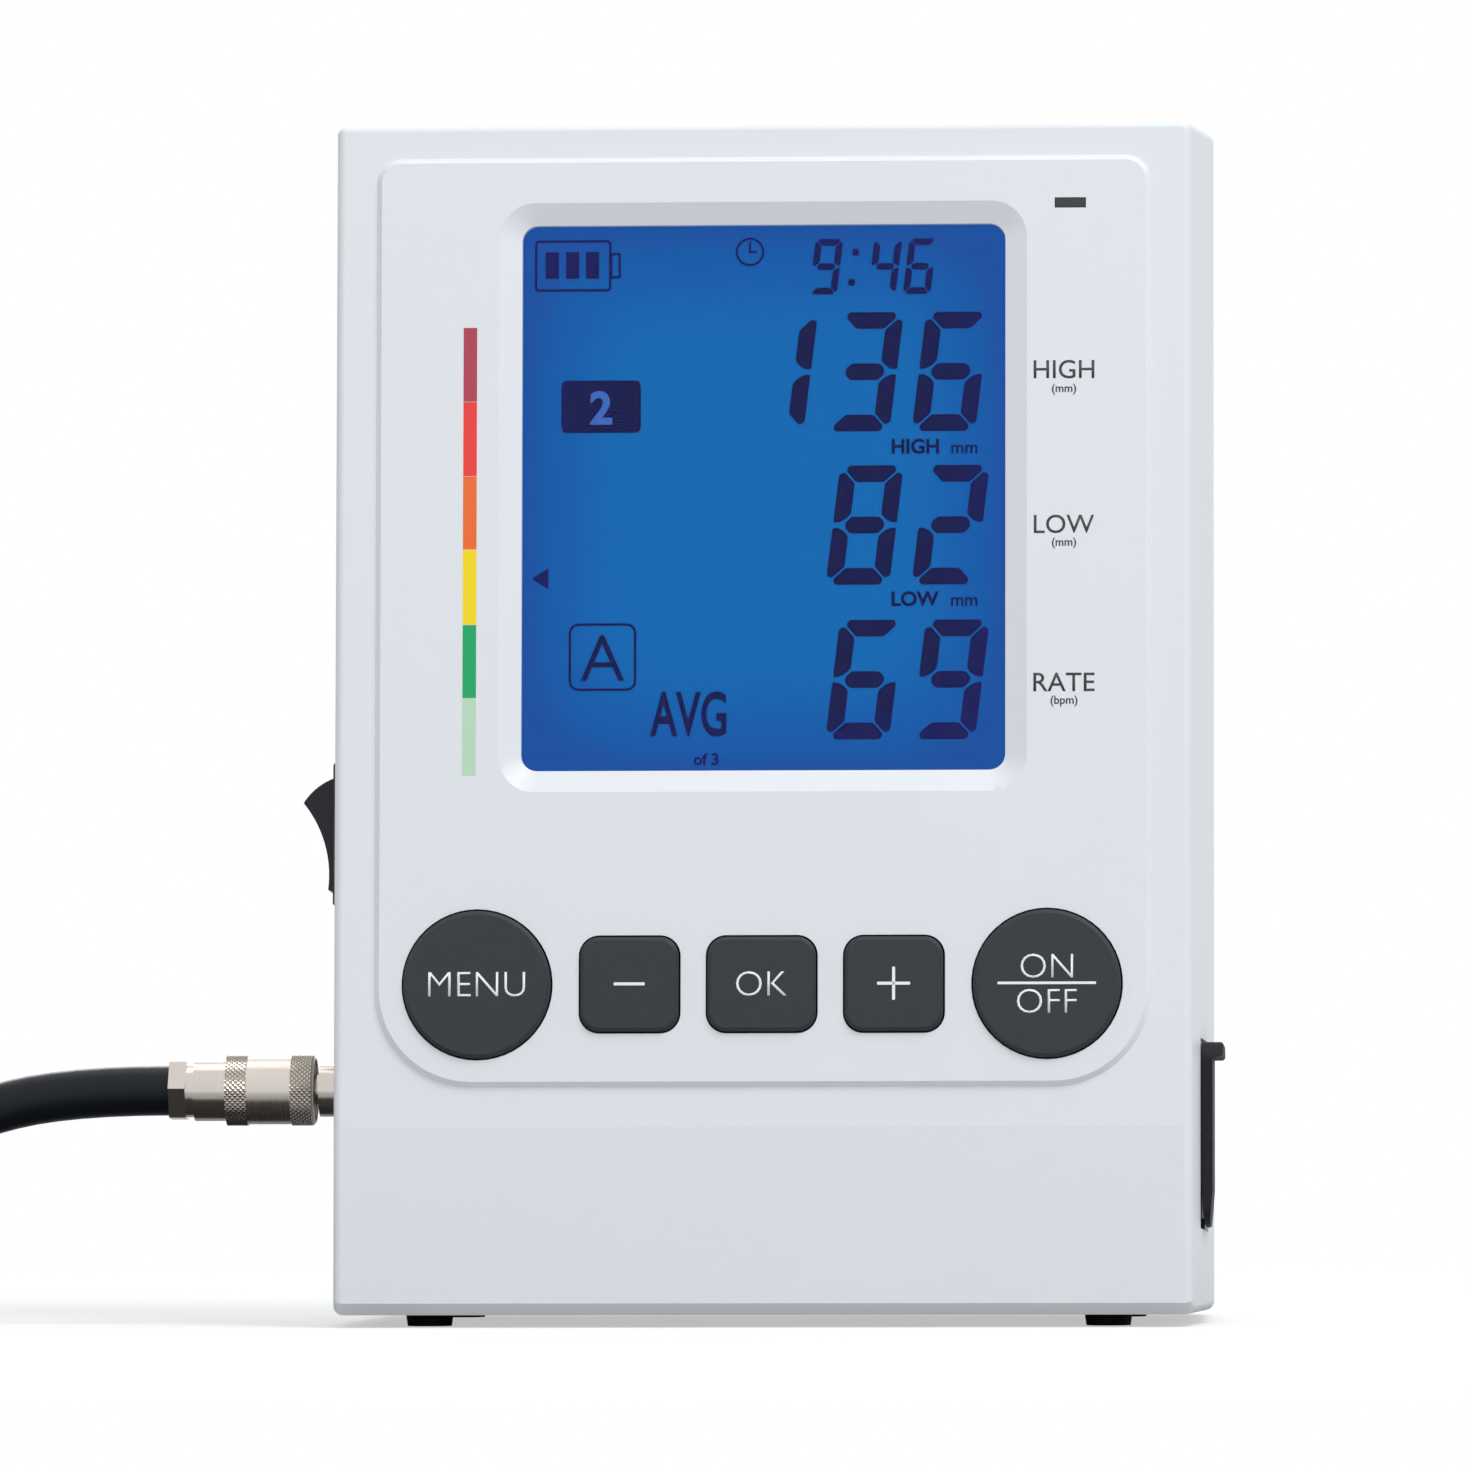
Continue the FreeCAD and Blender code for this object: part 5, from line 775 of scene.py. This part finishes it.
for step in range(1, round((2 * turns_in + turns_down) * turn_points)):
    turn = step / turn_points
    if turn <= turns_in:
        radius, height = coil_radius - coil_pitch * turn, coil_start.z
    elif turn < turns_in + turns_down:
        share = (turn - turns_in) / turns_down
        radius = inner_radius - coil_pitch / 4 * math.sin(math.pi * share)
        height = coil_start.z + (coil_low - coil_start.z) * share * share * (3 - 2 * share)
    else:
        radius, height = inner_radius + coil_pitch * (turn - turns_in - turns_down), coil_low
    angle = 2 * math.pi * turn
    offset = Vector((-math.sin(angle), -math.cos(angle), 0)) * (radius / hull_share)
    hose_points.append(Vector((coil_middle.x, coil_middle.y, height)) + offset)
coil_end = Vector((coil_start.x, coil_start.y, coil_low))
hose_points += [coil_end, coil_end - Vector((hose_diameter, 0, 0))]
hose_curve = bpy.data.curves.new("air_hose_line", "CURVE")
hose_curve.dimensions = "3D"
line = hose_curve.splines.new("NURBS")
line.points.add(len(hose_points) - 1)
for point, place in zip(line.points, hose_points):
    point.co = (*place, 1)
line.order_u = 3
line.use_endpoint_u = True
line.resolution_u = 6
hose_curve.bevel_depth = hose_diameter / 2
hose_curve.bevel_resolution = 6
hose_curve.use_fill_caps = True
hose = bpy.data.objects.new("air_hose_line", hose_curve)
bpy.context.scene.collection.objects.link(hose)
hose_rubber = moulded(
    "hose_rubber", screen_colour(14, 19, 26),
    roughness=0.4, grain_size=0.0012, grain_depth=0.00003, drift=0.12, shine=0.2,
)
hose.data.materials.append(hose_rubber)
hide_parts("air_hose", "air_hose_coil")
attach(hose, "housing")

# Coil tie
# A woven hook-and-loop strap that keeps the put-away turns of the hose together.
# Cut from flat webbing, laid round the four turns and pressed shut on its own tail.
tie_low, tie_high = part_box("coil_tie")
tie_thickness = 0.0006
tie_bend = 0.0046
tail_share = 0.62
tail_inset = 0.6
tie_middle = (tie_low + tie_high) / 2
tie_size = tie_high - tie_low


def woven_strap(name, colour, thread):
    """Webbing: threads that stand up where they cross each other."""
    wave_rate = 20
    material = moulded(name, colour, roughness=0.8, grain_size=0.0003, grain_depth=0.00002, drift=0.15)
    nodes, links = material.node_tree.nodes, material.node_tree.links
    place = nodes.new("ShaderNodeTexCoord")
    heights = nodes.new("ShaderNodeMath")
    heights.operation = "MAXIMUM"
    for index, direction in enumerate(("X", "DIAGONAL")):
        threads = nodes.new("ShaderNodeTexWave")
        threads.bands_direction = direction
        threads.inputs["Scale"].default_value = 2 * math.pi / (wave_rate * thread)
        links.new(place.outputs["Object"], threads.inputs["Vector"])
        links.new(threads.outputs["Fac"], heights.inputs[index])
    weave = nodes.new("ShaderNodeBump")
    weave.inputs["Strength"].default_value = 0.8
    weave.inputs["Distance"].default_value = 0.00015
    links.new(heights.outputs["Value"], weave.inputs["Height"])
    links.new(weave.outputs["Normal"], nodes["Principled BSDF"].inputs["Normal"])
    return material


strap_loop = block(tie_size, tie_middle)
select_edges_along(strap_loop, 0)
bpy.ops.mesh.bevel(offset=tie_bend, segments=8)
bpy.ops.mesh.select_mode(type="FACE")
bpy.ops.mesh.select_all(action="DESELECT")
bpy.ops.object.mode_set(mode="OBJECT")
for face in strap_loop.data.polygons:
    face.select = abs(face.normal.x) > axis_share
bpy.ops.object.mode_set(mode="EDIT")
bpy.ops.mesh.delete(type="FACE")
bpy.ops.object.mode_set(mode="OBJECT")
wall = strap_loop.modifiers.new("wall", "SOLIDIFY")
wall.thickness = tie_thickness
wall.offset = -1
bpy.ops.object.modifier_apply(modifier="wall")
tail_length = tie_size.y * tail_share
tail_start = tie_low.y + tie_bend * tail_inset
tail_middle = (tie_middle.x, tail_start + tail_length / 2, tie_high.z + tie_thickness / 2)
strap_tail = block((tie_size.x, tail_length, tie_thickness), tail_middle)
round_corners(strap_tail, tie_size.x / 4)
tie = joined([strap_loop, strap_tail])
tie.name = "coil_strap"
soft_edge = tie.modifiers.new("soft_edge", "BEVEL")
soft_edge.width = tie_thickness / 4
soft_edge.segments = 2
soft_edge.limit_method = "ANGLE"
bpy.ops.object.modifier_apply(modifier="soft_edge")
bpy.ops.object.shade_smooth_by_angle(angle=math.radians(35))
tie.data.materials.append(woven_strap("strap_webbing", screen_colour(34, 36, 40), thread=0.0005))
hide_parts("coil_tie")
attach(tie, "housing")

# Floor, light and camera
# A plain pale floor that turns white away from the object, a soft main lamp at the upper right with
# weaker ones round it, and a long lens a little right of the front and below the casing's middle.
floor_size = 12
shadow_reach = 0.15
white_from = 0.5
near_lift = 0.5


def seen_white(nodes, links):
    """Light path node, and a socket that is 1 where the camera, a reflection or glass shows the backdrop."""
    ray = nodes.new("ShaderNodeLightPath")
    seen = nodes.new("ShaderNodeMath")
    seen.operation = "MAXIMUM"
    seen_through = nodes.new("ShaderNodeMath")
    seen_through.operation = "MAXIMUM"
    links.new(ray.outputs["Is Camera Ray"], seen.inputs[0])
    links.new(ray.outputs["Is Glossy Ray"], seen.inputs[1])
    links.new(seen.outputs["Value"], seen_through.inputs[0])
    links.new(ray.outputs["Is Transmission Ray"], seen_through.inputs[1])
    return ray, seen_through.outputs["Value"]


bpy.ops.object.select_all(action="DESELECT")
bpy.ops.mesh.primitive_plane_add(size=floor_size)
floor = bpy.context.object
floor.name = "floor"
floor_pale = bpy.data.materials.new("floor_pale")
floor_pale.use_nodes = True
nodes, links = floor_pale.node_tree.nodes, floor_pale.node_tree.links
shader = nodes["Principled BSDF"]
shader.inputs["Roughness"].default_value = 0.9
shader.inputs["Specular IOR Level"].default_value = 0.0
ray, shows_backdrop = seen_white(nodes, links)
pale = nodes.new("ShaderNodeMix")
pale.data_type = "RGBA"
pale.inputs["A"].default_value = (0.5, 0.5, 0.5, 1.0)
pale.inputs["B"].default_value = (0.95, 0.95, 0.95, 1.0)
place = nodes.new("ShaderNodeTexCoord")
distance = nodes.new("ShaderNodeVectorMath")
distance.operation = "LENGTH"
fade = nodes.new("ShaderNodeMapRange")
fade.interpolation_type = "SMOOTHSTEP"
fade.inputs["From Min"].default_value = shadow_reach
fade.inputs["From Max"].default_value = white_from
far_white = nodes.new("ShaderNodeMath")
far_white.operation = "MULTIPLY"
near_white = nodes.new("ShaderNodeMath")
near_white.operation = "MULTIPLY"
near_white.inputs[1].default_value = near_lift
whiter = nodes.new("ShaderNodeMath")
whiter.operation = "MAXIMUM"
white = nodes.new("ShaderNodeEmission")
blend = nodes.new("ShaderNodeMixShader")
links.new(ray.outputs["Is Camera Ray"], pale.inputs["Factor"])
links.new(pale.outputs["Result"], shader.inputs["Base Color"])
links.new(place.outputs["Object"], distance.inputs[0])
links.new(distance.outputs["Value"], fade.inputs["Value"])
links.new(fade.outputs["Result"], far_white.inputs[0])
links.new(shows_backdrop, far_white.inputs[1])
links.new(ray.outputs["Is Camera Ray"], near_white.inputs[0])
links.new(far_white.outputs["Value"], whiter.inputs[0])
links.new(near_white.outputs["Value"], whiter.inputs[1])
links.new(whiter.outputs["Value"], blend.inputs["Fac"])
links.new(shader.outputs["BSDF"], blend.inputs[1])
links.new(white.outputs["Emission"], blend.inputs[2])
links.new(blend.outputs["Shader"], nodes["Material Output"].inputs["Surface"])
floor.data.materials.append(floor_pale)

# A dark card on the floor under the coupling, as studios use for metal, that only reflections show: a painted
# dark reflection in the lower half of the metal and the hose.
card_middle = (-0.18, -0.045, 0.0004)
card_size = (0.25, 0.09, 1)
bpy.ops.mesh.primitive_plane_add(size=1, location=card_middle)
reflection_only_card = bpy.context.object
reflection_only_card.name = "reflection_only_card"
reflection_only_card.scale = card_size
bpy.ops.object.transform_apply()
painted_reflection_black = bpy.data.materials.new("painted_reflection_black")
painted_reflection_black.use_nodes = True
shader = painted_reflection_black.node_tree.nodes["Principled BSDF"]
shader.inputs["Base Color"].default_value = (0.02, 0.018, 0.017, 1.0)
shader.inputs["Roughness"].default_value = 0.9
reflection_only_card.data.materials.append(painted_reflection_black)
reflection_only_card.visible_camera = False
reflection_only_card.visible_diffuse = False
reflection_only_card.visible_transmission = False
reflection_only_card.visible_shadow = False

world = bpy.data.worlds.new("studio")
bpy.context.scene.world = world
world.use_nodes = True
nodes, links = world.node_tree.nodes, world.node_tree.links
room = nodes["Background"]
room.inputs["Color"].default_value = (0.96, 0.98, 1.0, 1.0)
room.inputs["Strength"].default_value = 0.55
backdrop = nodes.new("ShaderNodeBackground")
backdrop.inputs["Color"].default_value = (1.0, 1.0, 1.0, 1.0)
ray, shows_backdrop = seen_white(nodes, links)
choice = nodes.new("ShaderNodeMixShader")
links.new(shows_backdrop, choice.inputs["Fac"])
links.new(room.outputs["Background"], choice.inputs[1])
links.new(backdrop.outputs["Background"], choice.inputs[2])
links.new(choice.outputs["Shader"], nodes["World Output"].inputs["Surface"])

lamp_aim = Vector((0, 0, 0.09))
lamps = [
    ("key_lamp", (0.85, -1.0, 1.6), 0.9, 22.5, True),
    ("fill_lamp", (-0.9, -1.9, 0.3), 1.2, 7.0, False),
    ("top_lamp", (0.1, 0.3, 1.8), 1.2, 3.7, True),
    ("back_lamp", (-0.5, 1.9, 0.9), 1.2, 11.0, True),
]
for name, place, size, power, mirrored in lamps:
    light = bpy.data.lights.new(name, "AREA")
    light.size = size
    light.energy = power
    lamp = bpy.data.objects.new(name, light)
    lamp.location = place
    lamp.visible_glossy = mirrored
    lamp.rotation_euler = (lamp_aim - Vector(place)).to_track_quat("-Z", "Y").to_euler()
    bpy.context.scene.collection.objects.link(lamp)

camera_turn = math.radians(3.8)
camera_roll = math.radians(-0.15)
camera_distance = 2.4
camera_height = 0.055
view_width = 0.2342
view_middle = 0.0944
view_offset = -0.0041
to_right = Vector((math.cos(camera_turn), math.sin(camera_turn), 0))
aim = Vector((0, crease_front, view_middle)) + to_right * view_offset
rise_share = (camera_height - view_middle) / camera_distance
toward_camera = Vector((math.sin(camera_turn), -math.cos(camera_turn), rise_share)).normalized()
camera_data = bpy.data.cameras.new("camera")
camera_data.sensor_width = 36
camera_data.lens = camera_data.sensor_width * camera_distance / view_width
camera_data.clip_end = 50
camera = bpy.data.objects.new("camera", camera_data)
camera.location = aim + toward_camera * camera_distance
level = (-toward_camera).to_track_quat("-Z", "Y").to_matrix().to_4x4()
camera.rotation_euler = (level @ Matrix.Rotation(camera_roll, 4, "Z")).to_euler()
bpy.context.scene.collection.objects.link(camera)
bpy.context.scene.camera = camera
bpy.context.scene.view_settings.view_transform = "Standard"
